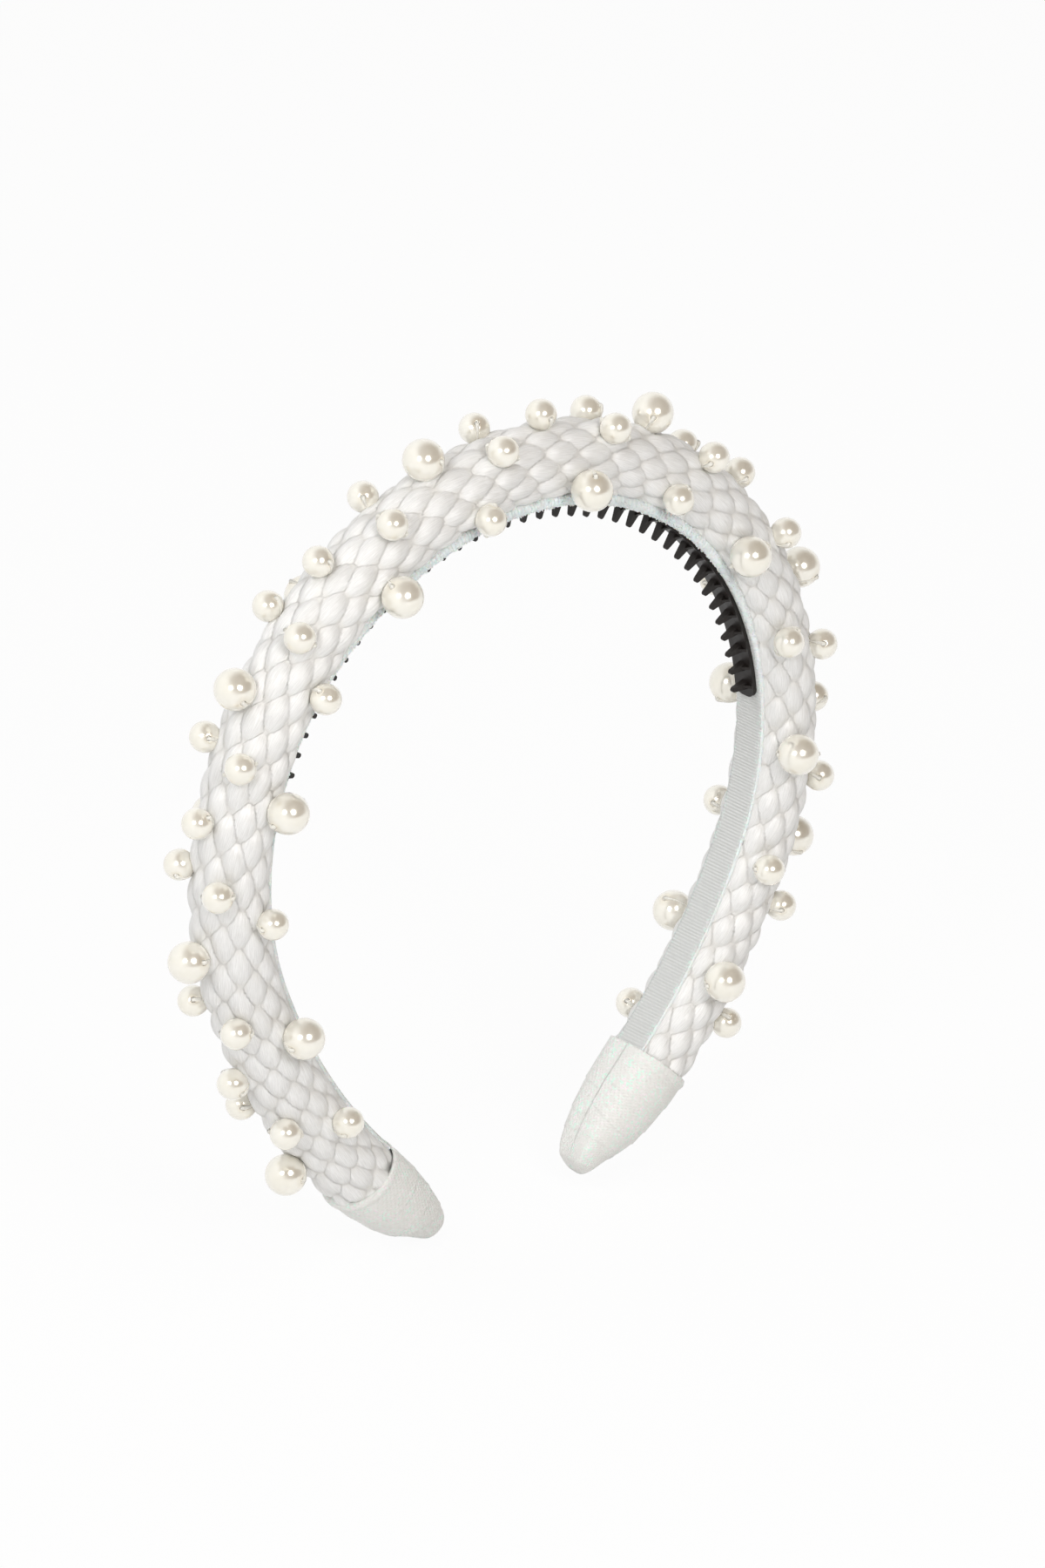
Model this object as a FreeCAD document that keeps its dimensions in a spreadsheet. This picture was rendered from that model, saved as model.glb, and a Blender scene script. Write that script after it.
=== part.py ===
import FreeCAD, Part
import Sketcher
import math
import os

# Padded plaited headband with sewn beads, in millimetres.
# The band arches over +Z. X runs from the left tip to the right tip, -Y is the front edge.
# The origin is the crown point of the lining's inner face, which rests on the head.

V = FreeCAD.Vector
X_AXIS = V(1, 0, 0)
Y_AXIS = V(0, 1, 0)
Z_AXIS = V(0, 0, 1)

SIZES = [
    # Arch, measured along the inner face of the lining.
    ("crown_radius", 60.5),
    ("crown_half_angle", 112.0),
    ("leg_radius", 122.0),
    ("leg_angle", 21.5),
    # Plaited cover: a round tube with a flat side that lies on the lining.
    ("cover_radius", 7.5),
    ("cover_flat", 7.2),
    ("cover_wall", 1.8),
    # Lining ribbon, set in from both edges of the flat side.
    ("lining_thickness", 0.5),
    ("lining_inset", 0.1),
    # Springy core strip, and the foam pad that saddles it.
    ("core_width", 6.0),
    ("core_thickness", 1.2),
    ("core_end_gap", 7.5),
    ("pad_gap", 0.1),
    # Fabric wraps on both tips. The cover, lining and pad run a short way into them.
    ("tuck", 2.0),
    ("wrap_length", 26.0),
    ("wrap_wall", 0.5),
    ("wrap_gap", 0.05),
    # A wrap's sections: place as a share of its length, radius, how far the flat side's edges come in
    # from the mouth's, and how far the flat side lifts off the head side.
    ("upper_share", 0.31),
    ("upper_radius", 8.0),
    ("upper_inset", 0.05),
    ("upper_lift", 0.15),
    ("middle_share", 0.58),
    ("middle_radius", 6.95),
    ("middle_inset", 0.2),
    ("middle_lift", 0.9),
    ("lower_share", 0.80),
    ("lower_radius", 5.1),
    ("lower_inset", 0.5),
    ("lower_lift", 2.2),
    ("nose_share", 0.94),
    ("nose_radius", 3.6),
    ("nose_inset", 1.25),
    ("nose_lift", 3.6),
    ("tip_radius", 2.2),
    ("tip_inset", 2.45),
    ("tip_lift", 5.3),
    # Comb strip, glued on the lining over the crown.
    ("comb_offset", 6.0),
    ("comb_width", 5.4),
    ("comb_thickness", 0.8),
    ("comb_round", 2.0),
    ("comb_margin", 2.5),
    ("tooth_count", 39),
    ("tooth_pitch", 4.22),
    # A tooth: a tapering peg with a round tip, and a thin rib from it to the strip's front edge.
    ("tooth_height", 3.4),
    ("tooth_root", 1.6),
    ("tooth_round", 0.5),
    ("tooth_front", 1.0),
    ("tooth_back", 0.6),
    ("front_slope", 0.5),
    ("back_slope", 0.4),
    ("rib_thickness", 0.6),
    ("rib_height", 1.4),
    ("rib_inset", 0.4),
    # Sewn pearls. Each one sinks a little into the soft plait.
    ("large_pearl", 8.0),
    ("small_pearl", 6.0),
    ("pearl_bore", 1.0),
    ("pearl_sink", 0.9),
    ("pearl_gap", 0.03),
    # Pearl rows: pitch and offset along the band, and angles round it from the outer side.
    ("pearl_pitch", 22.4),
    ("pearl_offset", 4.3),
    ("pearl_end_gap", 9.0),
    ("front_lead", 4.9),
    ("back_lag", 2.7),
    ("shoulder_step", 2.2),
    # On the left leg the pearls are gathered towards the crown: most at one place, less away from it.
    ("gather_place", -100.0),
    ("gather_shift", 3.3),
    ("gather_reach", 24.0),
    ("shoulder_angle", 37.0),
    ("edge_angle", 106.0),
]

doc = FreeCAD.newDocument("headband")
sheet = doc.addObject("Spreadsheet::Sheet", "sizes")
for row, (alias, value) in enumerate(SIZES, start=1):
    sheet.set("A%d" % row, alias)
    sheet.set("B%d" % row, str(value))
    sheet.setAlias("B%d" % row, alias)
doc.recompute()


def size(alias):
    """The plain number in a named cell."""
    return float(sheet.get(alias))


CROWN = size("crown_radius")
CROWN_TURN = math.radians(size("crown_half_angle"))
LEG = size("leg_radius")
LEG_TURN = math.radians(size("leg_angle"))
MOUTH = CROWN * CROWN_TURN + LEG * LEG_TURN
# Height of the plait's centre above the lining's inner face.
CENTRE = size("lining_thickness") + math.sqrt(size("cover_radius") ** 2 - (size("cover_flat") / 2) ** 2)
CENTRE_EXPR = "sizes.lining_thickness + sqrt(sizes.cover_radius ^ 2 - (sizes.cover_flat / 2) ^ 2)"


def band_point(station):
    """Point on the lining's inner face at a signed arc length from the crown, and the turn there."""
    side = -1 if station < 0 else 1
    run = abs(station)
    turn = min(run / CROWN, CROWN_TURN)
    x = CROWN * math.sin(turn)
    z = CROWN * (math.cos(turn) - 1)
    if run > CROWN * CROWN_TURN:
        turn = CROWN_TURN + (run - CROWN * CROWN_TURN) / LEG
        x += LEG * (math.sin(turn) - math.sin(CROWN_TURN))
        z += LEG * (math.cos(turn) - math.cos(CROWN_TURN))
    return V(side * x, 0, z), side * turn


def new_body(name):
    """An empty body with its own label."""
    body = doc.addObject("PartDesign::Body", name)
    body.Label = name
    return body


def plane(body, role):
    """One of a body's own origin planes."""
    return [item for item in body.Origin.OriginFeatures if item.Role == role][0]


def new_sketch(body, name, role, offset="0"):
    """A sketch on one of the body's origin planes, moved along the plane's normal."""
    sketch = body.newObject("Sketcher::SketchObject", name)
    sketch.AttachmentSupport = [(plane(body, role), "")]
    sketch.MapMode = "FlatFace"
    if offset != "0":
        sketch.setExpression("AttachmentOffset.Base.z", offset)
    return sketch


def drive(sketch, kind, where, start, expression, unit="mm"):
    """Add a dimension to a sketch and bind it to the sheet. Its start value fits the drawn lines."""
    index = sketch.addConstraint(Sketcher.Constraint(kind, *where, start))
    sketch.setExpression("Constraints[%d]" % index, "(%s) * 1 %s" % (expression, unit))


def drive_height(sketch, line, end, height, expression):
    """Hold a point at a height over the level axis, or under it when the height is negative."""
    if height > 0:
        drive(sketch, "DistanceY", (-1, 1, line, end), height, expression)
    elif height < 0:
        drive(sketch, "DistanceY", (line, end, -1, 1), -height, expression)
    else:
        sketch.addConstraint(Sketcher.Constraint("PointOnObject", line, end, -1))


def draw_path(body, end_run, end_expression):
    """Half of the arch: the crown arc, the leg arc and a straight run, from the crown outwards."""
    sketch = new_sketch(body, body.Name + "_path", "XZ_Plane")
    top = math.pi / 2
    crown_end = top - CROWN_TURN
    leg_end = crown_end - LEG_TURN
    crown_centre = V(0, -CROWN, 0)
    along = V(math.cos(crown_end), math.sin(crown_end), 0)
    leg_centre = crown_centre + along * (CROWN - LEG)
    leg_tip = leg_centre + V(math.cos(leg_end), math.sin(leg_end), 0) * LEG
    run_tip = leg_tip + V(math.sin(leg_end), -math.cos(leg_end), 0) * end_run
    sketch.addGeometry(Part.ArcOfCircle(Part.Circle(crown_centre, Z_AXIS, CROWN), crown_end, top))
    sketch.addGeometry(Part.ArcOfCircle(Part.Circle(leg_centre, Z_AXIS, LEG), leg_end, crown_end))
    sketch.addGeometry(Part.LineSegment(leg_tip, run_tip))
    sketch.addConstraint(Sketcher.Constraint("Coincident", 0, 2, -1, 1))
    sketch.addConstraint(Sketcher.Constraint("PointOnObject", 0, 3, -2))
    sketch.addConstraint(Sketcher.Constraint("Tangent", 0, 1, 1, 2))
    sketch.addConstraint(Sketcher.Constraint("Tangent", 1, 1, 2, 1))
    drive(sketch, "Radius", (0,), CROWN, "sizes.crown_radius")
    drive(sketch, "Angle", (0,), CROWN_TURN, "sizes.crown_half_angle", "deg")
    drive(sketch, "Radius", (1,), LEG, "sizes.leg_radius")
    drive(sketch, "Angle", (1,), LEG_TURN, "sizes.leg_angle", "deg")
    drive(sketch, "Distance", (2,), end_run, end_expression)
    return sketch


def draw_box(sketch, width, width_expression, low, low_expression, rise, rise_expression):
    """A rectangle centred on the upright axis, from low up by rise."""
    high = low + rise
    corners = [V(-width / 2, low, 0), V(width / 2, low, 0), V(width / 2, high, 0), V(-width / 2, high, 0)]
    for index in range(4):
        sketch.addGeometry(Part.LineSegment(corners[index], corners[(index + 1) % 4]))
    for index in range(4):
        sketch.addConstraint(Sketcher.Constraint("Coincident", index, 2, (index + 1) % 4, 1))
    sketch.addConstraint(Sketcher.Constraint("Symmetric", 0, 1, 0, 2, -2))
    sketch.addConstraint(Sketcher.Constraint("Vertical", 1))
    sketch.addConstraint(Sketcher.Constraint("Vertical", 3))
    sketch.addConstraint(Sketcher.Constraint("Horizontal", 2))
    drive(sketch, "DistanceX", (0, 1, 0, 2), width, width_expression)
    drive(sketch, "DistanceY", (1, 1, 1, 2), rise, rise_expression)
    drive_height(sketch, 0, 1, low, low_expression)


def round_arc(radius, centre, flat):
    """The round side of a section whose low side is cut flat."""
    swing = math.asin(flat / 2 / radius)
    down = -math.pi / 2
    circle = Part.Circle(V(0, centre, 0), Z_AXIS, radius)
    return Part.ArcOfCircle(circle, down + swing, down - swing + 2 * math.pi)


def draw_round(sketch, radius, radius_expression, flat, flat_expression, low, low_expression):
    """A round section with a flat low side, the flat at height low."""
    first = sketch.GeometryCount
    centre = low + math.sqrt(radius ** 2 - (flat / 2) ** 2)
    sketch.addGeometry(round_arc(radius, centre, flat))
    sketch.addGeometry(Part.LineSegment(V(-flat / 2, low, 0), V(flat / 2, low, 0)))
    sketch.addConstraint(Sketcher.Constraint("Coincident", first, 2, first + 1, 1))
    sketch.addConstraint(Sketcher.Constraint("Coincident", first + 1, 2, first, 1))
    sketch.addConstraint(Sketcher.Constraint("Symmetric", first + 1, 1, first + 1, 2, -2))
    drive(sketch, "Radius", (first,), radius, radius_expression)
    drive(sketch, "DistanceX", (first + 1, 1, first + 1, 2), flat, flat_expression)
    drive_height(sketch, first + 1, 1, low, low_expression)


def draw_saddle(sketch, radius, radius_expression, foot, foot_expression, roof, roof_expression):
    """A round section on the plait's centre whose low side is notched to height roof."""
    low = CENTRE - math.sqrt(radius ** 2 - (foot / 2) ** 2)
    notch = [V(-foot / 2, low, 0), V(-foot / 2, roof, 0), V(foot / 2, roof, 0), V(foot / 2, low, 0)]
    sketch.addGeometry(round_arc(radius, CENTRE, foot))
    for start, finish in zip(notch, notch[1:]):
        sketch.addGeometry(Part.LineSegment(start, finish))
    for index in range(4):
        sketch.addConstraint(Sketcher.Constraint("Coincident", index, 2, (index + 1) % 4, 1))
    sketch.addConstraint(Sketcher.Constraint("PointOnObject", 0, 3, -2))
    sketch.addConstraint(Sketcher.Constraint("Vertical", 1))
    sketch.addConstraint(Sketcher.Constraint("Vertical", 3))
    sketch.addConstraint(Sketcher.Constraint("Symmetric", 2, 1, 2, 2, -2))
    drive(sketch, "Radius", (0,), radius, radius_expression)
    drive(sketch, "DistanceY", (-1, 1, 0, 3), CENTRE, CENTRE_EXPR)
    drive(sketch, "DistanceX", (2, 1, 2, 2), foot, foot_expression)
    drive_height(sketch, 2, 1, roof, roof_expression)


def sweep_band(body, path, section):
    """Sweep a section from the crown to one tip and mirror it to the other side."""
    pipe = body.newObject("PartDesign::AdditivePipe", body.Name + "_half")
    pipe.Profile = section
    pipe.Spine = (path, ["Edge1", "Edge2", "Edge3"])
    pipe.Transition = "Right corner"
    doc.recompute()
    other = body.newObject("PartDesign::Mirrored", body.Name + "_whole")
    other.Originals = [pipe]
    other.MirrorPlane = (plane(body, "YZ_Plane"), [""])
    body.Tip = other
    doc.recompute()


# Plaited cover: a tube whose flat side lies on the lining. Both ends run into the wraps.
tuck = size("tuck")
cover_low = size("lining_thickness")
core_low = cover_low + size("cover_wall")
inner_radius = size("cover_radius") - size("cover_wall")
inner_flat = 2 * math.sqrt(inner_radius ** 2 - (CENTRE - core_low) ** 2)
CORE_LOW_EXPR = "sizes.lining_thickness + sizes.cover_wall"
INNER_RADIUS_EXPR = "sizes.cover_radius - sizes.cover_wall"
INNER_FLAT_EXPR = "2 * sqrt((%s) ^ 2 - (%s - (%s)) ^ 2)" % (INNER_RADIUS_EXPR, CENTRE_EXPR, CORE_LOW_EXPR)
cover_body = new_body("cover_tube")
cover_path = draw_path(cover_body, tuck, "sizes.tuck")
cover_section = new_sketch(cover_body, "cover_section", "YZ_Plane")
draw_round(cover_section, size("cover_radius"), "sizes.cover_radius", size("cover_flat"),
           "sizes.cover_flat", cover_low, "sizes.lining_thickness")
draw_round(cover_section, inner_radius, INNER_RADIUS_EXPR, inner_flat, INNER_FLAT_EXPR,
           core_low, CORE_LOW_EXPR)
sweep_band(cover_body, cover_path, cover_section)

# Lining ribbon, glued along the flat side.
lining_body = new_body("lining_ribbon")
lining_path = draw_path(lining_body, tuck, "sizes.tuck")
lining_section = new_sketch(lining_body, "lining_section", "YZ_Plane")
draw_box(lining_section, size("cover_flat") - 2 * size("lining_inset"),
         "sizes.cover_flat - 2 * sizes.lining_inset", 0, "0",
         size("lining_thickness"), "sizes.lining_thickness")
sweep_band(lining_body, lining_path, lining_section)

# Springy core strip on the floor of the tube. It runs nearly to the tips.
core_run = size("wrap_length") - size("core_end_gap")
core_body = new_body("core_band")
core_path = draw_path(core_body, core_run, "sizes.wrap_length - sizes.core_end_gap")
core_section = new_sketch(core_body, "core_section", "YZ_Plane")
draw_box(core_section, size("core_width"), "sizes.core_width", core_low, CORE_LOW_EXPR,
         size("core_thickness"), "sizes.core_thickness")
sweep_band(core_body, core_path, core_section)

# Foam pad: fills the rest of the tube and saddles the core.
pad_body = new_body("foam_pad")
pad_path = draw_path(pad_body, tuck, "sizes.tuck")
pad_section = new_sketch(pad_body, "pad_section", "YZ_Plane")
draw_saddle(pad_section, inner_radius - size("pad_gap"), INNER_RADIUS_EXPR + " - sizes.pad_gap",
            size("core_width") + 2 * size("pad_gap"), "sizes.core_width + 2 * sizes.pad_gap",
            core_low + size("core_thickness"), CORE_LOW_EXPR + " + sizes.core_thickness")
sweep_band(pad_body, pad_path, pad_section)

# Comb: a curved strip with a row of ribbed teeth, built round the centre of the crown arc.
comb_inner = CROWN - size("comb_thickness")
tooth_tip = comb_inner - size("tooth_height")
PITCH_TURN_EXPR = "sizes.tooth_pitch / sizes.crown_radius * 180 / pi"
ROW_TURN_EXPR = "(sizes.tooth_count - 1) * " + PITCH_TURN_EXPR
MARGIN_TURN_EXPR = "sizes.comb_margin / sizes.crown_radius * 180 / pi"
COMB_INNER_EXPR = "sizes.crown_radius - sizes.comb_thickness"
TOOTH_TIP_EXPR = COMB_INNER_EXPR + " - sizes.tooth_height"
row_turn = (size("tooth_count") - 1) * size("tooth_pitch") / CROWN
margin_turn = size("comb_margin") / CROWN
comb_body = new_body("comb_strip")

strip_sketch = new_sketch(comb_body, "comb_strip_outline", "XZ_Plane")
low_turn = math.pi / 2 - row_turn - margin_turn
high_turn = math.pi / 2 + margin_turn
outer_arc = Part.ArcOfCircle(Part.Circle(V(0, 0, 0), Z_AXIS, CROWN), low_turn, high_turn)
inner_arc = Part.ArcOfCircle(Part.Circle(V(0, 0, 0), Z_AXIS, comb_inner), low_turn, high_turn)
strip_sketch.addGeometry(outer_arc)
strip_sketch.addGeometry(Part.LineSegment(inner_arc.EndPoint, outer_arc.EndPoint))
strip_sketch.addGeometry(inner_arc)
strip_sketch.addGeometry(Part.LineSegment(inner_arc.StartPoint, outer_arc.StartPoint))
for first, first_end, second, second_end in [(0, 3, -1, 1), (2, 3, -1, 1), (0, 2, 1, 2), (2, 2, 1, 1),
                                             (0, 1, 3, 2), (2, 1, 3, 1)]:
    strip_sketch.addConstraint(Sketcher.Constraint("Coincident", first, first_end, second, second_end))
for line in (1, 3):
    strip_sketch.addConstraint(Sketcher.Constraint("PointOnObject", -1, 1, line))
drive(strip_sketch, "Radius", (0,), CROWN, "sizes.crown_radius")
drive(strip_sketch, "Radius", (2,), comb_inner, COMB_INNER_EXPR)
drive(strip_sketch, "Angle", (0,), row_turn + 2 * margin_turn,
      ROW_TURN_EXPR + " + 2 * " + MARGIN_TURN_EXPR, "deg")
drive(strip_sketch, "Angle", (1,), high_turn, "90 + " + MARGIN_TURN_EXPR, "deg")
strip_pad = comb_body.newObject("PartDesign::Pad", "comb_strip_pad")
strip_pad.Profile = strip_sketch
strip_pad.setExpression("Length", "sizes.comb_width")
strip_pad.Midplane = True
doc.recompute()
corners = ["Edge%d" % number for number, edge in enumerate(strip_pad.Shape.Edges, start=1)
           if abs(edge.Length - size("comb_thickness")) < 0.01]
strip_round = comb_body.newObject("PartDesign::Fillet", "comb_strip_ends")
strip_round.Base = (strip_pad, corners)
strip_round.setExpression("Radius", "sizes.comb_round")

# One tooth: a peg that tapers to a round tip. Its front and back faces slope in towards the tip.
half_root = size("tooth_root") / 2
tooth_round = size("tooth_round")
root_height = comb_inner + size("comb_thickness") / 2
ball_height = tooth_tip + tooth_round
side_lean = math.atan2(half_root, root_height - ball_height) - math.asin(
    tooth_round / math.hypot(half_root, root_height - ball_height))
touch = V(tooth_round * math.cos(side_lean), ball_height - tooth_round * math.sin(side_lean), 0)
peg_sketch = new_sketch(comb_body, "tooth_peg", "XZ_Plane", "sizes.tooth_front")
peg_sketch.addGeometry(Part.LineSegment(V(-half_root, root_height, 0), V(-touch.x, touch.y, 0)))
peg_sketch.addGeometry(Part.ArcOfCircle(Part.Circle(V(0, ball_height, 0), Z_AXIS, tooth_round),
                                        math.pi + side_lean, 2 * math.pi - side_lean))
peg_sketch.addGeometry(Part.LineSegment(touch, V(half_root, root_height, 0)))
peg_sketch.addGeometry(Part.LineSegment(V(half_root, root_height, 0), V(-half_root, root_height, 0)))
for kind, first, first_end, second, second_end in [
        ("Tangent", 0, 2, 1, 1), ("Tangent", 1, 2, 2, 1), ("Coincident", 2, 2, 3, 1),
        ("Coincident", 3, 2, 0, 1)]:
    peg_sketch.addConstraint(Sketcher.Constraint(kind, first, first_end, second, second_end))
peg_sketch.addConstraint(Sketcher.Constraint("Symmetric", 3, 1, 3, 2, -2))
peg_sketch.addConstraint(Sketcher.Constraint("PointOnObject", 1, 3, -2))
drive(peg_sketch, "Radius", (1,), tooth_round, "sizes.tooth_round")
drive(peg_sketch, "DistanceX", (3, 2, 3, 1), 2 * half_root, "sizes.tooth_root")
drive(peg_sketch, "DistanceY", (-1, 1, 1, 3), ball_height, TOOTH_TIP_EXPR + " + sizes.tooth_round")
drive(peg_sketch, "DistanceY", (-1, 1, 2, 2), root_height, COMB_INNER_EXPR + " + sizes.comb_thickness / 2")
peg_pad = comb_body.newObject("PartDesign::Pad", "tooth_peg_pad")
peg_pad.Profile = peg_sketch
peg_pad.setExpression("Length", "sizes.tooth_front + sizes.tooth_back")
peg_pad.Reversed = True
doc.recompute()


def cut_slope(name, reach, reach_expression, slope, slope_expression):
    """Slope one face of the peg, from the strip at reach to the tip, slope nearer the middle."""
    sketch = new_sketch(comb_body, name, "YZ_Plane")
    side = 1 if reach > 0 else -1
    root = V(reach, comb_inner, 0)
    outer_tip = V(reach, tooth_tip, 0)
    inner_tip = V(reach - side * slope, tooth_tip, 0)
    sketch.addGeometry(Part.LineSegment(root, outer_tip))
    sketch.addGeometry(Part.LineSegment(outer_tip, inner_tip))
    sketch.addGeometry(Part.LineSegment(inner_tip, root))
    for index in range(3):
        sketch.addConstraint(Sketcher.Constraint("Coincident", index, 2, (index + 1) % 3, 1))
    sketch.addConstraint(Sketcher.Constraint("Vertical", 0))
    sketch.addConstraint(Sketcher.Constraint("Horizontal", 1))
    drive(sketch, "Distance", (1,), slope, slope_expression)
    drive(sketch, "DistanceY", (-1, 1, 0, 1), comb_inner, COMB_INNER_EXPR)
    drive(sketch, "DistanceY", (-1, 1, 0, 2), tooth_tip, TOOTH_TIP_EXPR)
    if reach > 0:
        drive(sketch, "DistanceX", (-1, 1, 0, 1), reach, reach_expression)
    else:
        drive(sketch, "DistanceX", (0, 1, -1, 1), -reach, reach_expression)
    cut = comb_body.newObject("PartDesign::Pocket", name + "_cut")
    cut.Profile = sketch
    cut.Midplane = True
    cut.setExpression("Length", "2 * sizes.tooth_root")
    doc.recompute()
    return cut


front_cut = cut_slope("tooth_front", -size("tooth_front"), "sizes.tooth_front", size("front_slope"),
                      "sizes.front_slope")
back_cut = cut_slope("tooth_back", size("tooth_back"), "sizes.tooth_back", size("back_slope"),
                     "sizes.back_slope")

# The rib falls from the peg's middle to the strip near its front edge.
rib_sketch = new_sketch(comb_body, "tooth_rib", "YZ_Plane")
rib_root = comb_inner + size("comb_thickness") / 2
rib_toe = size("rib_inset") - size("comb_width") / 2
RIB_TOE_EXPR = "sizes.comb_width / 2 - sizes.rib_inset"
rib_corners = [V(0, rib_root, 0), V(rib_toe, rib_root, 0), V(rib_toe, comb_inner, 0),
               V(0, comb_inner - size("rib_height"), 0)]
for index in range(4):
    rib_sketch.addGeometry(Part.LineSegment(rib_corners[index], rib_corners[(index + 1) % 4]))
for index in range(4):
    rib_sketch.addConstraint(Sketcher.Constraint("Coincident", index, 2, (index + 1) % 4, 1))
rib_sketch.addConstraint(Sketcher.Constraint("Horizontal", 0))
rib_sketch.addConstraint(Sketcher.Constraint("Vertical", 1))
rib_sketch.addConstraint(Sketcher.Constraint("Vertical", 3))
rib_sketch.addConstraint(Sketcher.Constraint("PointOnObject", 0, 1, -2))
drive(rib_sketch, "DistanceX", (1, 1, -1, 1), -rib_toe, RIB_TOE_EXPR)
drive(rib_sketch, "DistanceY", (-1, 1, 0, 1), rib_root, COMB_INNER_EXPR + " + sizes.comb_thickness / 2")
drive(rib_sketch, "DistanceY", (-1, 1, 1, 2), comb_inner, COMB_INNER_EXPR)
drive(rib_sketch, "DistanceY", (-1, 1, 2, 2), comb_inner - size("rib_height"),
      COMB_INNER_EXPR + " - sizes.rib_height")
rib_pad = comb_body.newObject("PartDesign::Pad", "tooth_rib_pad")
rib_pad.Profile = rib_sketch
rib_pad.Midplane = True
rib_pad.setExpression("Length", "sizes.rib_thickness")
doc.recompute()

tooth_row = comb_body.newObject("PartDesign::PolarPattern", "tooth_row")
tooth_row.Originals = [peg_pad, front_cut, back_cut, rib_pad]
tooth_row.Axis = (plane(comb_body, "Y_Axis"), [""])
tooth_row.setExpression("Angle", ROW_TURN_EXPR)
tooth_row.setExpression("Occurrences", "sizes.tooth_count")
comb_body.Tip = tooth_row
comb_body.Placement = FreeCAD.Placement(
    V(0, 0, -CROWN), FreeCAD.Rotation(Y_AXIS, math.degrees(size("comb_offset") / CROWN - row_turn / 2)))
doc.recompute()

# Tip wraps. Each is drawn upright at the mouth and turned onto its end of the band.
mouth_height = CENTRE + size("cover_radius") + 2 * size("wrap_wall")
half_flat = size("cover_flat") / 2 + size("wrap_gap") + size("wrap_wall")
mouth_radius = (mouth_height ** 2 + half_flat ** 2) / (2 * mouth_height)
MOUTH_HEIGHT_EXPR = "(%s + sizes.cover_radius + 2 * sizes.wrap_wall)" % CENTRE_EXPR
HALF_FLAT_EXPR = "(sizes.cover_flat / 2 + sizes.wrap_gap + sizes.wrap_wall)"
MOUTH_RADIUS_EXPR = "({0} ^ 2 + {1} ^ 2) / (2 * {0})".format(MOUTH_HEIGHT_EXPR, HALF_FLAT_EXPR)
COLLAR_SHARE_EXPR = "(sizes.tuck + sizes.wrap_wall) / sizes.wrap_length"


def wrap_section(name):
    """Radius, half of the flat side and its height for a section, each with its expression."""
    return ((size(name + "_radius"), "sizes.%s_radius" % name),
            (half_flat - size(name + "_inset"), "(%s - sizes.%s_inset)" % (HALF_FLAT_EXPR, name)),
            (size(name + "_lift") - size("wrap_wall"), "sizes.%s_lift - sizes.wrap_wall" % name))


# Place, share of the wrap's length, and section. The mouth's section runs on past the tucked-in plait.
MOUTH_SECTION = ((mouth_radius, MOUTH_RADIUS_EXPR), (half_flat, HALF_FLAT_EXPR),
                 (-size("wrap_wall"), "sizes.wrap_wall"))
WRAP_SECTIONS = [
    ("mouth", "0", MOUTH_SECTION),
    ("collar", COLLAR_SHARE_EXPR, MOUTH_SECTION),
    ("upper", "sizes.upper_share", wrap_section("upper")),
    ("middle", "sizes.middle_share", wrap_section("middle")),
    ("lower", "sizes.lower_share", wrap_section("lower")),
    ("nose", "sizes.nose_share", wrap_section("nose")),
    ("tip", "1", wrap_section("tip")),
]


def build_wrap(name, side):
    """One tapered tip wrap with a recess for the plait and lining and a slot for the core."""
    body = new_body(name)
    sections = []
    for place, share, (radius, half, low) in WRAP_SECTIONS:
        offset = "0" if share == "0" else "sizes.wrap_length * (%s) * 1 mm" % share
        section = new_sketch(body, "%s_%s" % (name, place), "YZ_Plane", offset)
        draw_round(section, radius[0], radius[1], 2 * half[0], "2 * " + half[1], low[0], low[1])
        sections.append(section)
    loft = body.newObject("PartDesign::AdditiveLoft", name + "_loft")
    loft.Profile = sections[0]
    loft.Sections = sections[1:]
    doc.recompute()

    recess = new_sketch(body, name + "_recess", "YZ_Plane")
    draw_saddle(recess, size("cover_radius") + size("wrap_gap"), "sizes.cover_radius + sizes.wrap_gap",
                size("cover_flat") + 2 * size("wrap_gap"), "sizes.cover_flat + 2 * sizes.wrap_gap",
                -size("wrap_gap"), "sizes.wrap_gap")
    recess_cut = body.newObject("PartDesign::Pocket", name + "_recess_cut")
    recess_cut.Profile = recess
    recess_cut.Reversed = True
    recess_cut.setExpression("Length", "sizes.tuck + sizes.wrap_gap")
    slot = new_sketch(body, name + "_slot", "YZ_Plane")
    draw_box(slot, size("core_width") + 2 * size("wrap_gap"), "sizes.core_width + 2 * sizes.wrap_gap",
             core_low - size("wrap_gap"), CORE_LOW_EXPR + " - sizes.wrap_gap",
             size("core_thickness") + 2 * size("wrap_gap"), "sizes.core_thickness + 2 * sizes.wrap_gap")
    slot_cut = body.newObject("PartDesign::Pocket", name + "_slot_cut")
    slot_cut.Profile = slot
    slot_cut.Reversed = True
    slot_cut.setExpression("Length", "sizes.wrap_length - sizes.core_end_gap + sizes.wrap_gap")
    mouth_point, turn = band_point(MOUTH)
    seat = FreeCAD.Placement(mouth_point, FreeCAD.Rotation(Y_AXIS, math.degrees(turn)))
    half_turn = FreeCAD.Placement(V(0, 0, 0), FreeCAD.Rotation(Z_AXIS, 0 if side > 0 else 180))
    body.Placement = half_turn.multiply(seat)
    doc.recompute()
    return body


right_wrap = build_wrap("right_tip_wrap", 1)
left_wrap = build_wrap("left_tip_wrap", -1)

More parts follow.
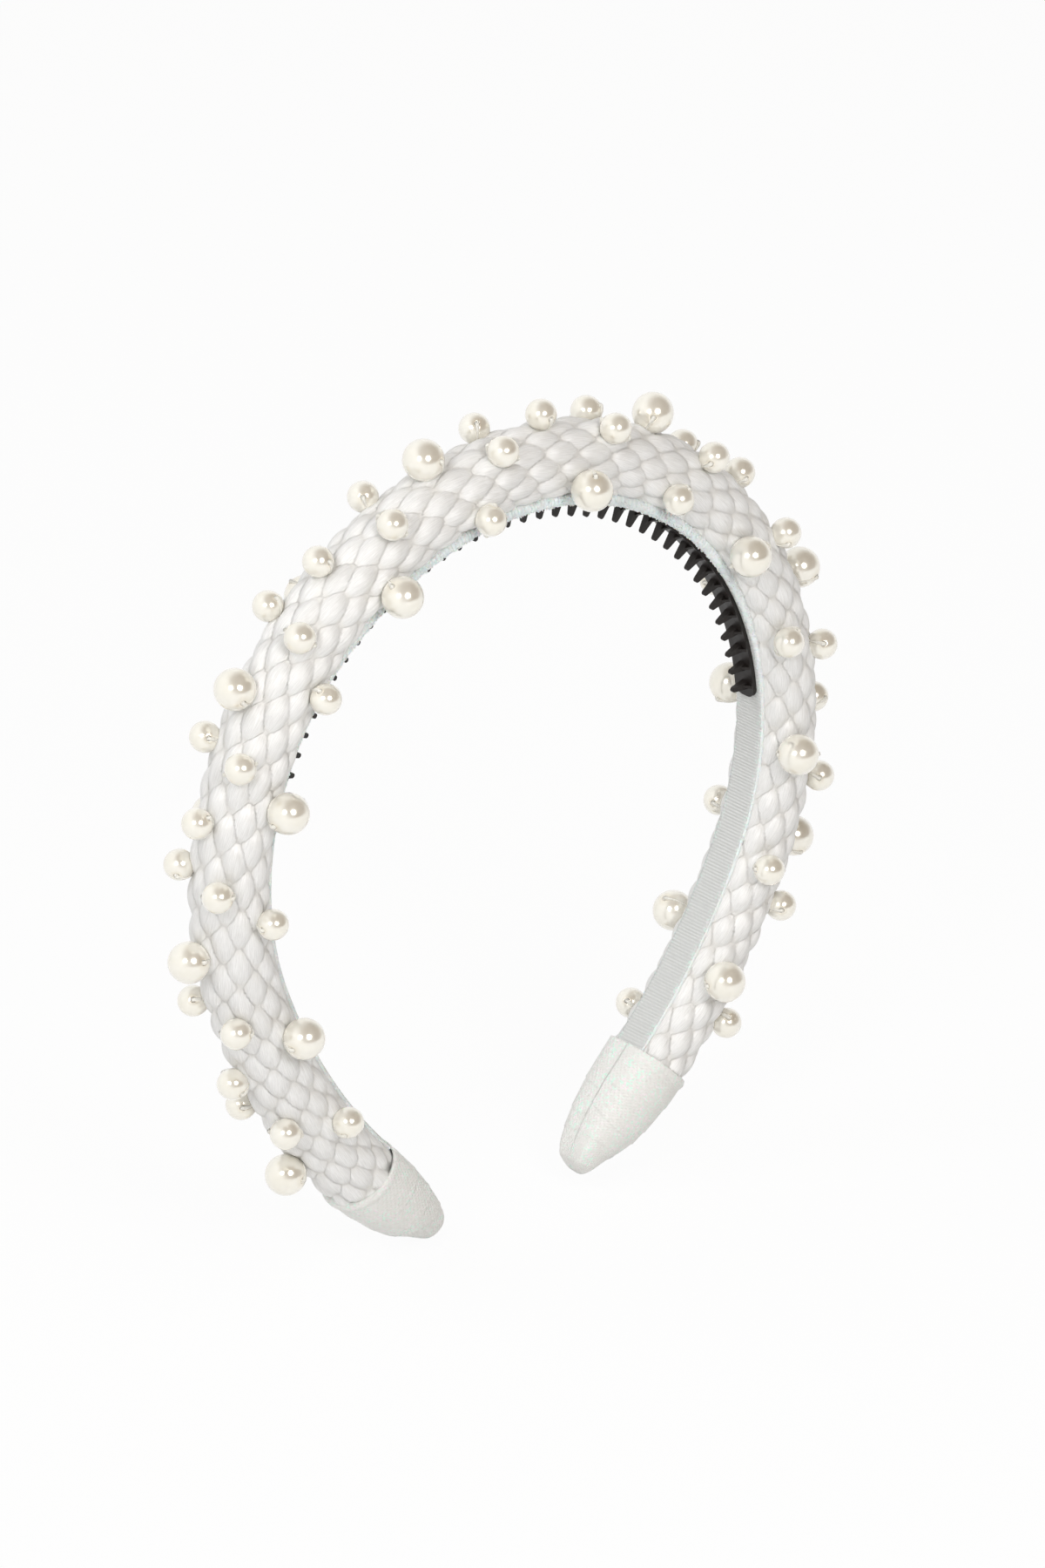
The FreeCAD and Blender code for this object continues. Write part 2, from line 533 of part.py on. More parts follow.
# Pearls: a ball with a bore for the thread, turned once for each size.
def build_pearl(name, width):
    """A drilled ball on the origin, its bore upright."""
    body = new_body(name)
    radius = size(width) / 2
    bore = size("pearl_bore") / 2
    half_bore = math.sqrt(radius ** 2 - bore ** 2)
    sketch = new_sketch(body, name + "_outline", "XZ_Plane")
    swing = math.acos(bore / radius)
    sketch.addGeometry(Part.ArcOfCircle(Part.Circle(V(0, 0, 0), Z_AXIS, radius), -swing, swing))
    sketch.addGeometry(Part.LineSegment(V(bore, half_bore, 0), V(bore, -half_bore, 0)))
    sketch.addConstraint(Sketcher.Constraint("Coincident", 0, 3, -1, 1))
    sketch.addConstraint(Sketcher.Constraint("Coincident", 0, 2, 1, 1))
    sketch.addConstraint(Sketcher.Constraint("Coincident", 1, 2, 0, 1))
    sketch.addConstraint(Sketcher.Constraint("Vertical", 1))
    drive(sketch, "Diameter", (0,), 2 * radius, "sizes." + width)
    drive(sketch, "DistanceX", (-1, 1, 1, 1), bore, "sizes.pearl_bore / 2")
    ball = body.newObject("PartDesign::Revolution", name + "_ball")
    ball.Profile = sketch
    ball.ReferenceAxis = (sketch, ["V_Axis"])
    ball.Angle = 360
    doc.recompute()
    return body


pearls = {"large": build_pearl("large_pearl_pattern", "large_pearl"),
          "small": build_pearl("small_pearl_pattern", "small_pearl")}

# Rows of pearls: angle round the plait (front edge positive), lead along the band, first and last
# place, and how the sizes follow each other. Shoulder rows sit half a pitch before the centre row.
half_pitch = size("pearl_pitch") / 2
ROWS = [
    ("centre", 0.0, 0.0, -7, 5, ("small", "large")),
    ("front_edge", size("edge_angle"), size("front_lead"), -7, 6, ("large", "small")),
    ("back_edge", -size("edge_angle"), -size("back_lag"), -7, 7, ("large", "small")),
    ("front_shoulder", size("shoulder_angle"), -half_pitch, -6, 7, ("small", "small")),
    ("back_shoulder", -size("shoulder_angle"), size("shoulder_step") - half_pitch, -6, 7, ("small", "small")),
]


def gathered(station):
    """A station moved by the gather on the left leg."""
    away = (station - size("gather_place")) / size("gather_reach")
    return station + size("gather_shift") * math.exp(-away ** 2)


def pearl_place(station, angle, radius):
    """Where a pearl sits, sunk a little into the plait, with its own Z pointing out of the plait."""
    point, turn = band_point(station)
    reach = size("cover_radius") - size("pearl_sink") + radius
    lean = math.radians(angle)
    local = V(0, -reach * math.sin(lean), CENTRE + reach * math.cos(lean))
    turned = FreeCAD.Rotation(Y_AXIS, math.degrees(turn))
    outward = turned.multiply(FreeCAD.Rotation(X_AXIS, angle))
    return FreeCAD.Placement(point + turned.multVec(local), outward)


# The thread's bore runs round the plait, across the band.
BORE_ACROSS = FreeCAD.Placement(V(0, 0, 0), FreeCAD.Rotation(X_AXIS, 90))
seats = []
pearl_rows = []
for row, angle, lead, first, last, order in ROWS:
    placed = {}
    for place in range(first, last + 1):
        kind = order[place % 2]
        radius = size(kind + "_pearl") / 2
        limit = MOUTH - size("pearl_end_gap")
        station = gathered(size("pearl_offset") + lead + place * size("pearl_pitch"))
        station = max(-limit, min(limit, station))
        spot = pearl_place(station, angle, radius)
        ball = pearls[kind].Shape.copy()
        ball.Placement = spot.multiply(BORE_ACROSS)
        placed.setdefault(kind, []).append(ball)
        seat = Part.makeSphere(radius + size("pearl_gap"))
        seat.Placement = spot
        seats.append(seat)
    for kind in sorted(placed):
        node = doc.addObject("Part::Feature", "%s_pearls_%s" % (row, kind))
        node.Label = node.Name
        node.Shape = Part.makeCompound(placed[kind])
        pearl_rows.append(node)

# The pearls dent the plait, so their seats are cut out of the cover.
seat_balls = doc.addObject("Part::Feature", "pearl_seats")
seat_balls.Shape = Part.makeCompound(seats)
cover = doc.addObject("Part::Cut", "braided_cover")
cover.Label = "braided_cover"
cover.Base = cover_body
cover.Tool = seat_balls
doc.recompute()

nodes = [cover, lining_body, comb_body, left_wrap, right_wrap, core_body, pad_body] + pearl_rows
for item in doc.Objects:
    if "Invalid" in item.State or "Error" in item.State:
        raise RuntimeError("%s failed to build" % item.Label)
for node in nodes:
    if node.Shape.isNull() or not node.Shape.isValid() or node.Shape.Volume <= 0:
        raise RuntimeError("%s has no sound shape" % node.Label)

os.makedirs("parts", exist_ok=True)
for node in nodes:
    node.Shape.exportStep("parts/%s.step" % node.Label)
    print(node.Label, len(node.Shape.Solids), round(node.Shape.Volume, 1))
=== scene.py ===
import math

import bpy
import numpy as np
from mathutils import Matrix, Vector


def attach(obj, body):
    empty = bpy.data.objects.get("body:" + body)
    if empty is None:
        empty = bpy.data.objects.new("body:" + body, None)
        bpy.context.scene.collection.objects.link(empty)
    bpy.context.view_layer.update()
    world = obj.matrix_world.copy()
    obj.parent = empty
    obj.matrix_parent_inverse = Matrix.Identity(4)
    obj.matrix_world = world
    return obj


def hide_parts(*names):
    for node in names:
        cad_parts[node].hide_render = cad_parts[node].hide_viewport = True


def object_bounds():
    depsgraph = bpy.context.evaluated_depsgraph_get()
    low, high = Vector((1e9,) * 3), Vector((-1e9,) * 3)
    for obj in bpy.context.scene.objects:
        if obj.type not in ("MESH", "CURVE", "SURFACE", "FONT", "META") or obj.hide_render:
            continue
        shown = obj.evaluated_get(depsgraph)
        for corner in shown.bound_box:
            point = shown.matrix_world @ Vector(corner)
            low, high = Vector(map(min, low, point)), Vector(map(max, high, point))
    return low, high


# Padded plaited headband with sewn beads. Lengths here are in millimetres along the band's own run,
# and make_mesh() turns them into metres. X runs from the left tip to the right tip, -Y is the front.
MM = 0.001

# The arch of the lining's inner face, and the plait that stands on it.
CROWN = 60.5
CROWN_TURN = math.radians(112)
LEG = 122.0
LEG_TURN = math.radians(21.5)
MOUTH = CROWN * CROWN_TURN + LEG * LEG_TURN
PLAIT_RADIUS = 7.5
FLAT = 7.2
LINING = 0.5
CENTRE = LINING + math.sqrt(PLAIT_RADIUS ** 2 - (FLAT / 2) ** 2)
TUCK = 1.8

# The plait's strands show as long cells in columns along the band, every second column half a pitch
# on. The whole cover is twisted a little: columns drift round the tube and rows slant.
COLUMNS = 14
GIRTH = 2 * math.pi * PLAIT_RADIUS
CELL_WIDTH = GIRTH / COLUMNS
CELL_PITCH = 7.2
DRIFT = 0.15
SLANT = 2 * CELL_PITCH / GIRTH
# A cell stands this far over the tube, and falls to its ends and sides by a power of the distance.
CELL_RISE = 0.46
END_DROP = 1.3
SIDE_DROP = 1.9
FALL = 2.1
# Between cells it goes no deeper than this, and a higher softness makes the creases sharper.
FLOOR_DROP = 1.0
SOFTNESS = 26.0
# Cells differ a little in place along and across, turn, height and where their filaments start.
LUCK_PLACES = 128
LUCK_ALONG = 0.35
LUCK_ACROSS = 0.18
LUCK_TURN = 0.1
LUCK_RISE = 0.06
FILAMENT_SHIFT = 40
# The tube is drawn in at the front beside the lining, and the cells fade out towards the flat side.
UNDERCUT = 0.4
UNDERCUT_AT = math.radians(138)
UNDERCUT_REACH = math.radians(20)
SWELL_END = math.radians(152)
SWELL_FADE = math.radians(24)
# The mesh: its step along the band and its points round it. Under a pearl it is dented, but stands
# this far inside the ball, so that no gap shows.
PLAIT_STEP = 0.28
PLAIT_SIDES = 168
SEAT = 0.06

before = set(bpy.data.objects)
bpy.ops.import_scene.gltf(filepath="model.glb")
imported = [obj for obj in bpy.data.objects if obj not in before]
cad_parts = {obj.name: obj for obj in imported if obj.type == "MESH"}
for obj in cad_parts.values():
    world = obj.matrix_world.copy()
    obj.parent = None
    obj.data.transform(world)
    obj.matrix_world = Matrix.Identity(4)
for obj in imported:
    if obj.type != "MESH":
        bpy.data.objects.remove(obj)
cad_low, cad_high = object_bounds()
chance = np.random.default_rng(7)


def arch(run):
    """X and Z of the lining's inner face, and the turn there, at signed runs from the crown."""
    run = np.asarray(run, float)
    side = np.where(run < 0, -1.0, 1.0)
    far = np.abs(run)
    crown_turn = np.minimum(far / CROWN, CROWN_TURN)
    turn = crown_turn + np.clip(far - CROWN * CROWN_TURN, 0, LEG * LEG_TURN) / LEG
    beyond = np.maximum(far - MOUTH, 0)
    x = CROWN * np.sin(crown_turn) + LEG * (np.sin(turn) - np.sin(crown_turn)) + beyond * np.cos(turn)
    z = CROWN * (np.cos(crown_turn) - 1) + LEG * (np.cos(turn) - np.cos(crown_turn)) - beyond * np.sin(turn)
    return side * x, z, side * turn


def on_band(run, across, height):
    """Points at a run along the band, a distance across it (Y) and a height over the inner face."""
    x, z, turn = arch(run)
    return np.stack([x + height * np.sin(turn), across + 0 * x, z + height * np.cos(turn)], -1)


def make_mesh(name, points, quads, uvs=(), tints=(), fan=()):
    """A smooth mesh object from points in millimetres, with named UV maps and point attributes."""
    mesh = bpy.data.meshes.new(name)
    mesh.from_pydata((points.reshape(-1, 3) * MM).tolist(), [], quads.tolist() + [list(face) for face in fan])
    corners = np.concatenate([quads.ravel(), np.asarray(fan, int).ravel()])
    for label, values in dict(uvs).items():
        layer = mesh.uv_layers.new(name=label)
        layer.uv.foreach_set("vector", values.reshape(-1, 2)[corners].astype(np.float32).ravel())
    for label, values in dict(tints).items():
        attribute = mesh.attributes.new(label, "FLOAT", "POINT")
        attribute.data.foreach_set("value", values.ravel().astype(np.float32))
    mesh.shade_smooth()
    piece = bpy.data.objects.new(name, mesh)
    bpy.context.scene.collection.objects.link(piece)
    return piece


def grid_quads(rows, columns, closed=True, start=0):
    """Quads over a grid of points, row by row, closed round its columns if asked."""
    across = np.arange(columns if closed else columns - 1)
    first = start + np.arange(rows - 1)[:, None] * columns
    here = first + across[None, :]
    beside = first + (across[None, :] + 1) % columns
    return np.stack([here, beside, beside + columns, here + columns], -1).reshape(-1, 4)


def dress(piece, material):
    """Give a piece its body and its material."""
    piece.data.materials.append(material)
    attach(piece, "root")


# ---------------------------------------------------------------- materials


class Finish:
    """A node material with one Principled shader."""

    def __init__(self, name, **sockets):
        self.material = bpy.data.materials.new(name)
        self.material.use_nodes = True
        self.tree = self.material.node_tree
        self.shader = self.tree.nodes["Principled BSDF"]
        for label, value in sockets.items():
            self.shader.inputs[label.replace("_", " ")].default_value = value

    def node(self, kind, settings=(), **inputs):
        """A new node. Its inputs take values or other nodes' outputs."""
        made = self.tree.nodes.new("ShaderNode" + kind)
        for label, value in dict(settings).items():
            setattr(made, label, value)
        for label, value in inputs.items():
            label = label.replace("_", " ")
            socket = made.inputs[int(label[1:])] if label[1:].isdigit() else made.inputs[label]
            self.feed(socket, value)
        return made

    def feed(self, socket, value):
        """Link an output into a socket, or set its value."""
        if isinstance(value, bpy.types.NodeSocket):
            self.tree.links.new(value, socket)
        else:
            socket.default_value = value

    def link(self, label, value):
        """Link an output into the shader."""
        self.feed(self.shader.inputs[label], value)

    def stretched(self, source, scale):
        """A texture vector scaled along its axes."""
        return self.node("VectorMath", {"operation": "MULTIPLY"}, i0=source, i1=scale).outputs[0]

    def calculate(self, operation, first, second):
        """The result of a Math node."""
        return self.node("Math", {"operation": operation}, i0=first, i1=second).outputs[0]

    def blend(self, factor, first, second):
        """A colour mix."""
        return self.node("Mix", {"data_type": "RGBA"}, i0=factor, i6=first, i7=second).outputs[2]

    def remap(self, value, low, high, out_low, out_high):
        """A value moved from one range to another."""
        return self.node("MapRange", i0=value, i1=low, i2=high, i3=out_low, i4=out_high).outputs[0]

    def bump(self, height, distance, strength=1.0, under=None):
        """A bump normal from a height, on top of another normal if given."""
        made = self.node("Bump", Height=height, Distance=distance * MM, Strength=strength)
        if under is not None:
            self.feed(made.inputs["Normal"], under)
        return made.outputs["Normal"]


def plait_finish():
    """White satin cords: fine filaments along each cell, with painted shade that makes the creases where
    cells meet a little darker and warmer.
    """
    finish = Finish("white_satin_cord", Metallic=0.12, Roughness=0.46, Anisotropic=0.85,
                    Anisotropic_Rotation=0.25, Specular_IOR_Level=0.8)
    filament = finish.node("UVMap", {"uv_map": "filament"}).outputs[0]
    fine = finish.node("TexNoise", Vector=finish.stretched(filament, (0.35, 7.0, 1.0)), Scale=1.0,
                       Detail=3.0, Roughness=0.65).outputs[0]
    coarse = finish.node("TexNoise", Vector=finish.stretched(filament, (0.2, 1.7, 1.0)), Scale=1.0,
                         Detail=2.0).outputs[0]
    crest = finish.node("Attribute", {"attribute_name": "crest"}).outputs["Fac"]
    shade = finish.node("Attribute", {"attribute_name": "shade"}).outputs["Fac"]
    pale = finish.blend(shade, (0.87, 0.87, 0.86, 1), (0.91, 0.91, 0.905, 1))
    silk = finish.blend(finish.remap(fine, 0.35, 0.6, 0, 1), (0.76, 0.757, 0.745, 1), pale)
    # Painted shade: where the crest height falls low, in the creases between cells, the colour turns darker
    # and warmer.
    painted_crease_shade = finish.blend(finish.remap(crest, -1.0, -0.6, 0, 1), (0.80, 0.79, 0.765, 1), silk)
    finish.link("Base Color", painted_crease_shade)
    finish.link("Roughness", finish.remap(coarse, 0.3, 0.7, 0.40, 0.52))
    tow = finish.bump(coarse, 0.24, 0.7)
    finish.link("Normal", finish.bump(fine, 0.07, 0.8, tow))
    tangent = finish.node("Tangent", {"direction_type": "UV_MAP", "uv_map": "filament"})
    finish.link("Tangent", tangent.outputs[0])
    return finish.material


def pearl_finish():
    """Ivory faux pearl: a smooth nacre lustre under a clear coat, warmer round the bore."""
    finish = Finish("ivory_pearl", Metallic=0.5, Roughness=0.2, Coat_Weight=0.9, Coat_Roughness=0.09,
                    Specular_IOR_Level=0.6)
    turned = finish.node("UVMap", {"uv_map": "turned"}).outputs[0]
    place = finish.node("TexCoord").outputs["Object"]
    cloud = finish.node("TexNoise", Vector=place, Scale=260.0, Detail=2.0).outputs[0]
    nacre = finish.blend(finish.remap(cloud, 0.35, 0.65, 0, 1), (0.90, 0.868, 0.775, 1),
                         (0.93, 0.905, 0.83, 1))
    polar = finish.node("SeparateXYZ", Vector=turned).outputs[1]
    edge = finish.remap(finish.calculate("ABSOLUTE", polar, 0.0), 0.90, 0.985, 0, 1)
    finish.link("Base Color", finish.blend(edge, nacre, (0.86, 0.81, 0.70, 1)))
    finish.link("Roughness", finish.remap(cloud, 0.3, 0.7, 0.17, 0.23))
    return finish.material


def thread_finish():
    """Twisted white sewing thread."""
    finish = Finish("sewing_thread", Roughness=0.6, Sheen_Weight=0.2)
    along = finish.node("UVMap", {"uv_map": "length"}).outputs[0]
    twist = finish.node("TexWave", {"bands_direction": "DIAGONAL"},
                        Vector=finish.stretched(along, (2.6, 2.0, 1.0)),
                        Scale=1.0, Distortion=0.6, Detail=1.0).outputs[1]
    finish.link("Base Color", finish.blend(twist, (0.83, 0.81, 0.74, 1), (0.90, 0.885, 0.83, 1)))
    finish.link("Normal", finish.bump(twist, 0.06, 0.8))
    return finish.material


def glitter(finish, place, mint, rose):
    """Fine flakes: their cells, their colours and how much they show."""
    flake = finish.node("TexVoronoi", Vector=place, Scale=2600.0)
    pick = finish.node("SeparateXYZ", Vector=flake.outputs["Color"])
    colour = finish.blend(finish.remap(pick.outputs[0], 0.5, 0.75, 0, 1), mint, rose)
    drift = finish.node("TexNoise", Vector=place, Scale=320.0, Detail=2.0).outputs[0]
    crowd = finish.remap(drift, 0.42, 0.62, 0.12, 0.85)
    shows = finish.calculate("MULTIPLY", finish.remap(pick.outputs[1], 0.6, 0.66, 0, 1), crowd)
    return flake, colour, shows


def facet_tilt(finish, place, flake):
    """A height that leans the facet of each flake its own way."""
    away = finish.node("VectorMath", {"operation": "SUBTRACT"}, i0=place, i1=flake.outputs["Position"])
    lean = finish.node("VectorMath", {"operation": "SUBTRACT"}, i0=flake.outputs["Color"],
                       i1=(0.5, 0.5, 0.5))
    return finish.node("VectorMath", {"operation": "DOT_PRODUCT"}, i0=away.outputs[0],
                       i1=lean.outputs[0]).outputs["Value"]


def wrap_finish():
    """White glitter fabric wound round the tip: a fine slanting weave with mint and rose flakes."""
    finish = Finish("glitter_wrap", Roughness=0.5, Specular_IOR_Level=0.5, Sheen_Weight=0.15)
    place = finish.node("TexCoord").outputs["Object"]
    wound = finish.node("UVMap", {"uv_map": "wound"}).outputs[0]
    flake, colour, shows = glitter(finish, place, (0.72, 0.95, 0.84, 1), (0.95, 0.85, 0.90, 1))
    slanted = finish.node("VectorRotate", {"rotation_type": "Z_AXIS"}, Vector=wound, Angle=0.5).outputs[0]
    warp = finish.node("TexWave", {"bands_direction": "X"},
                       Vector=finish.stretched(slanted, (0.55, 0.5, 1.0)),
                       Scale=1.0, Distortion=1.0, Detail=1.0).outputs[1]
    weft = finish.node("TexWave", {"bands_direction": "Y"},
                       Vector=finish.stretched(slanted, (0.5, 0.42, 1.0)),
                       Scale=1.0, Distortion=1.0, Detail=1.0).outputs[1]
    weave = finish.calculate("MULTIPLY", warp, weft)
    grain = finish.node("TexNoise", Vector=finish.stretched(wound, (3.0, 1.4, 1.0)), Scale=1.0,
                        Detail=3.0).outputs[0]
    cloth = finish.blend(finish.remap(grain, 0.3, 0.7, 0, 1), (0.78, 0.775, 0.75, 1), (0.84, 0.835, 0.81, 1))
    finish.link("Base Color", finish.blend(shows, cloth, colour))
    finish.link("Roughness", finish.remap(shows, 0, 1, 0.5, 0.18))
    threads = finish.bump(weave, 0.14, 0.6, finish.bump(grain, 0.1, 0.4))
    finish.link("Normal", finish.bump(facet_tilt(finish, place, flake), 250, 0.5, threads))
    return finish.material


def lining_finish():
    """Pale ribbon with fine ribs across it and a faint mint sheen along the edges."""
    finish = Finish("ribbed_ribbon", Roughness=0.55, Sheen_Weight=0.15)
    along = finish.node("UVMap", {"uv_map": "ribbon"}).outputs[0]
    place = finish.node("TexCoord").outputs["Object"]
    rib = finish.node("TexWave", {"bands_direction": "X"}, Vector=finish.stretched(along, (0.5, 0.0, 1.0)),
                      Scale=1.0, Distortion=0.8, Detail=2.0).outputs[1]
    slub = finish.node("TexNoise", Vector=finish.stretched(along, (6.0, 0.8, 1.0)), Scale=1.0,
                       Detail=3.0).outputs[0]
    _, colour, shows = glitter(finish, place, (0.70, 0.93, 0.84, 1), (0.90, 0.88, 0.92, 1))
    edge = finish.node("Attribute", {"attribute_name": "edge"}).outputs["Fac"]
    ribbed = finish.blend(rib, (0.60, 0.61, 0.605, 1), (0.75, 0.76, 0.75, 1))
    cloth = finish.blend(finish.remap(slub, 0.3, 0.7, 0, 0.7), (0.62, 0.63, 0.62, 1), ribbed)
    flakes = finish.calculate("MULTIPLY", shows, edge)
    finish.link("Base Color", finish.blend(finish.calculate("MULTIPLY", flakes, 0.8), cloth, colour))
    finish.link("Metallic", finish.calculate("MULTIPLY", flakes, 0.6))
    ribs = finish.bump(rib, 0.12, 0.7)
    finish.link("Normal", finish.bump(slub, 0.08, 0.6, ribs))
    return finish.material


def edging_finish():
    """The ribbon's overlocked edge: fuzzy bluish white yarn with mint flakes."""
    finish = Finish("overlocked_edge", Roughness=0.6, Sheen_Weight=0.35, Subsurface_Weight=0.2,
                    Subsurface_Scale=0.0005)
    along = finish.node("UVMap", {"uv_map": "length"}).outputs[0]
    place = finish.node("TexCoord").outputs["Object"]
    _, colour, shows = glitter(finish, place, (0.74, 0.95, 0.88, 1), (0.88, 0.93, 0.97, 1))
    fuzz = finish.node("TexNoise", Vector=finish.stretched(along, (3.6, 0.8, 1.0)), Scale=1.0,
                       Detail=4.0).outputs[0]
    yarn = finish.blend(finish.remap(fuzz, 0.3, 0.7, 0, 1), (0.80, 0.83, 0.83, 1), (0.90, 0.92, 0.91, 1))
    near = finish.node("Attribute", {"attribute_name": "comb_side"}).outputs["Fac"]
    tinted = finish.blend(finish.calculate("MULTIPLY", near, finish.remap(fuzz, 0.35, 0.6, 0.9, 0.3)), yarn,
                          (0.70, 0.79, 0.82, 1))
    finish.link("Base Color", finish.blend(finish.calculate("MULTIPLY", shows, 0.6), tinted, colour))
    finish.link("Metallic", finish.calculate("MULTIPLY", shows, 0.3))
    finish.link("Roughness", finish.remap(shows, 0, 1, 0.65, 0.25))
    finish.link("Normal", finish.bump(fuzz, 0.2, 0.7))
    return finish.material


def comb_finish():
    """Brown-black moulded plastic with a faint mottle and a fine grain."""
    finish = Finish("black_moulded_comb", Roughness=0.42, Specular_IOR_Level=0.3)
    place = finish.node("TexCoord").outputs["Object"]
    mottle = finish.node("TexNoise", Vector=place, Scale=700.0, Detail=4.0).outputs[0]
    grain = finish.node("TexNoise", Vector=place, Scale=5200.0, Detail=2.0).outputs[0]
    finish.link("Base Color", finish.blend(mottle, (0.010, 0.008, 0.007, 1), (0.019, 0.015, 0.013, 1)))
    finish.link("Roughness", finish.remap(mottle, 0.3, 0.7, 0.36, 0.48))
    finish.link("Normal", finish.bump(grain, 0.04, 0.4))
    return finish.material


def core_finish():
    """Milky springy plastic, inside the plait."""
    finish = Finish("core_plastic", Roughness=0.45)
    place = finish.node("TexCoord").outputs["Object"]
    flow = finish.node("TexNoise", Vector=place, Scale=260.0, Detail=3.0).outputs[0]
    finish.link("Base Color", finish.blend(flow, (0.66, 0.66, 0.63, 1), (0.76, 0.76, 0.74, 1)))
    finish.link("Normal", finish.bump(flow, 0.05, 0.3))
    return finish.material


def foam_finish():
    """White foam wadding, inside the plait."""
    finish = Finish("foam_wadding", Roughness=0.9)
    place = finish.node("TexCoord").outputs["Object"]
    pore = finish.node("TexVoronoi", Vector=place, Scale=1600.0).outputs[0]
    finish.link("Base Color", finish.blend(finish.remap(pore, 0, 0.6, 0, 1), (0.62, 0.61, 0.56, 1),
                                           (0.84, 0.83, 0.79, 1)))
    finish.link("Normal", finish.bump(pore, 0.2, 0.8))
    return finish.material


# ---------------------------------------------------------------- pearls

PEARLS = {"large": 4.0, "small": 3.0}
PEARL_RINGS = 40
PEARL_SIDES = 60
# How far each pearl's bore is turned and nods at most.
PEARL_TURN = 0.7
PEARL_NOD = 0.25
BORE = 0.5
# The bore's rounded rim: its reach over the ball, its width, and where it starts and ends inwards.
RIM_EASE = 0.12
LIP_WIDTH = 0.03
LIP_START = 0.02
LIP_END = 0.16
THREAD = 0.15
THREAD_CLEAR = THREAD * 0.2
THREAD_DEPTH = 1.4
THREAD_TAPER = 0.5
THREAD_SIDES = 10
# Where the thread bends down over the pearl's side, in degrees, and how far it is dragged aside.
THREAD_SWINGS = (12, 30, 50, 70)
THREAD_DRAG = 0.5
BORE_FILL = 0.46
SINK = 0.9
PITCH = 22.4
OFFSET = 4.3
END_GAP = 9.0
# On the left leg the pearls are gathered towards the crown: most at one place, less away from it.
GATHER_PLACE = -100.0
GATHER_SHIFT = 3.3
GATHER_REACH = 24.0
ROWS = [
    ("centre", 0.0, 0.0, -7, 5, ("small", "large")),
    ("front_edge", 106.0, 4.9, -7, 6, ("large", "small")),
    ("back_edge", -106.0, -2.7, -7, 7, ("large", "small")),
    ("front_shoulder", 37.0, -PITCH / 2, -6, 7, ("small", "small")),
    ("back_shoulder", -37.0, 2.2 - PITCH / 2, -6, 7, ("small", "small")),
]


def pearl_spots():
    """Every pearl: its node's name, radius, run, centre, outward direction and the band's direction."""
    spots = []
    for row, angle, lead, first, last, order in ROWS:
        lean = math.radians(angle)
        for place in range(first, last + 1):
            kind = order[place % 2]
            radius = PEARLS[kind]
            run = OFFSET + lead + place * PITCH
            run += GATHER_SHIFT * math.exp(-((run - GATHER_PLACE) / GATHER_REACH) ** 2)
            run = max(END_GAP - MOUTH, min(MOUTH - END_GAP, run))
            reach = PLAIT_RADIUS - SINK + radius
            middle = on_band(run, 0.0, CENTRE)
            centre = on_band(run, -reach * math.sin(lean), CENTRE + reach * math.cos(lean))
            _, _, turn = arch(run)
            out = (centre - middle) / reach
            ahead = np.array([math.cos(turn), 0.0, -math.sin(turn)])
            spots.append(("%s_pearls_%s" % (row, kind), radius, run, centre, out, ahead))
    return spots


SPOTS = pearl_spots()


def turned_pearl(radius):
    """Profile of a drilled ball with an eased rim, as distance from the axis and height along it."""
    rim = math.asin((BORE + RIM_EASE) / radius)
    swing = np.linspace(rim, math.pi - rim, PEARL_RINGS)
    outer = np.stack([radius * np.sin(swing), radius * np.cos(swing)], -1)
    top = radius * math.cos(rim)
    lip = np.array([[BORE + LIP_WIDTH, -top + LIP_START], [BORE, -top + LIP_END]])
    bore = np.array([[BORE, 0.0], [BORE, top - LIP_END], [BORE + LIP_WIDTH, top - LIP_START]])
    return np.concatenate([outer, lip, bore])


def build_pearls(material):
    """One piece for each row and size. The bores lie across the band, each turned a little."""
    made = {}
    around = np.linspace(0, 2 * math.pi, PEARL_SIDES, endpoint=False)
    here = np.arange(PEARL_SIDES)
    beside = (here + 1) % PEARL_SIDES
    for name, radius, _, centre, out, ahead in SPOTS:
        across = np.cross(out, ahead)
        turn = chance.uniform(-PEARL_TURN, PEARL_TURN)
        nod = chance.uniform(-PEARL_NOD, PEARL_NOD)
        axis = across * math.cos(turn) + ahead * math.sin(turn)
        axis = axis * math.cos(nod) + out * math.sin(nod)
        first = np.cross(axis, out)
        first /= np.linalg.norm(first)
        second = np.cross(axis, first)
        profile = turned_pearl(radius)
        ring = np.cos(around)[None, :, None] * first + np.sin(around)[None, :, None] * second
        points = centre + profile[:, :1, None] * ring + profile[:, 1:, None] * axis
        last = (len(profile) - 1) * PEARL_SIDES
        closing = np.stack([here + last, beside + last, beside, here], -1)
        quads = np.concatenate([grid_quads(len(profile), PEARL_SIDES), closing])[:, ::-1]
        turned = np.stack(np.broadcast_arrays(around[None, :] / (2 * math.pi), profile[:, 1:] / radius), -1)
        made.setdefault(name, []).append((points.reshape(-1, 3), quads, turned.reshape(-1, 2), axis))
    for name, balls in made.items():
        count = 0
        parts = []
        for ball in balls:
            parts.append(ball[1] + count)
            count += len(ball[0])
        piece = make_mesh(name.replace("_pearls_", "_sewn_"), np.concatenate([ball[0] for ball in balls]),
                          np.concatenate(parts), {"turned": np.concatenate([ball[2] for ball in balls])})
        dress(piece, material)
        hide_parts(name)
    return {name: [ball[3] for ball in balls] for name, balls in made.items()}


# A direction that no tube runs along, to set their rings by.
TUBE_POLE = np.array([0.31, 0.87, 0.38])


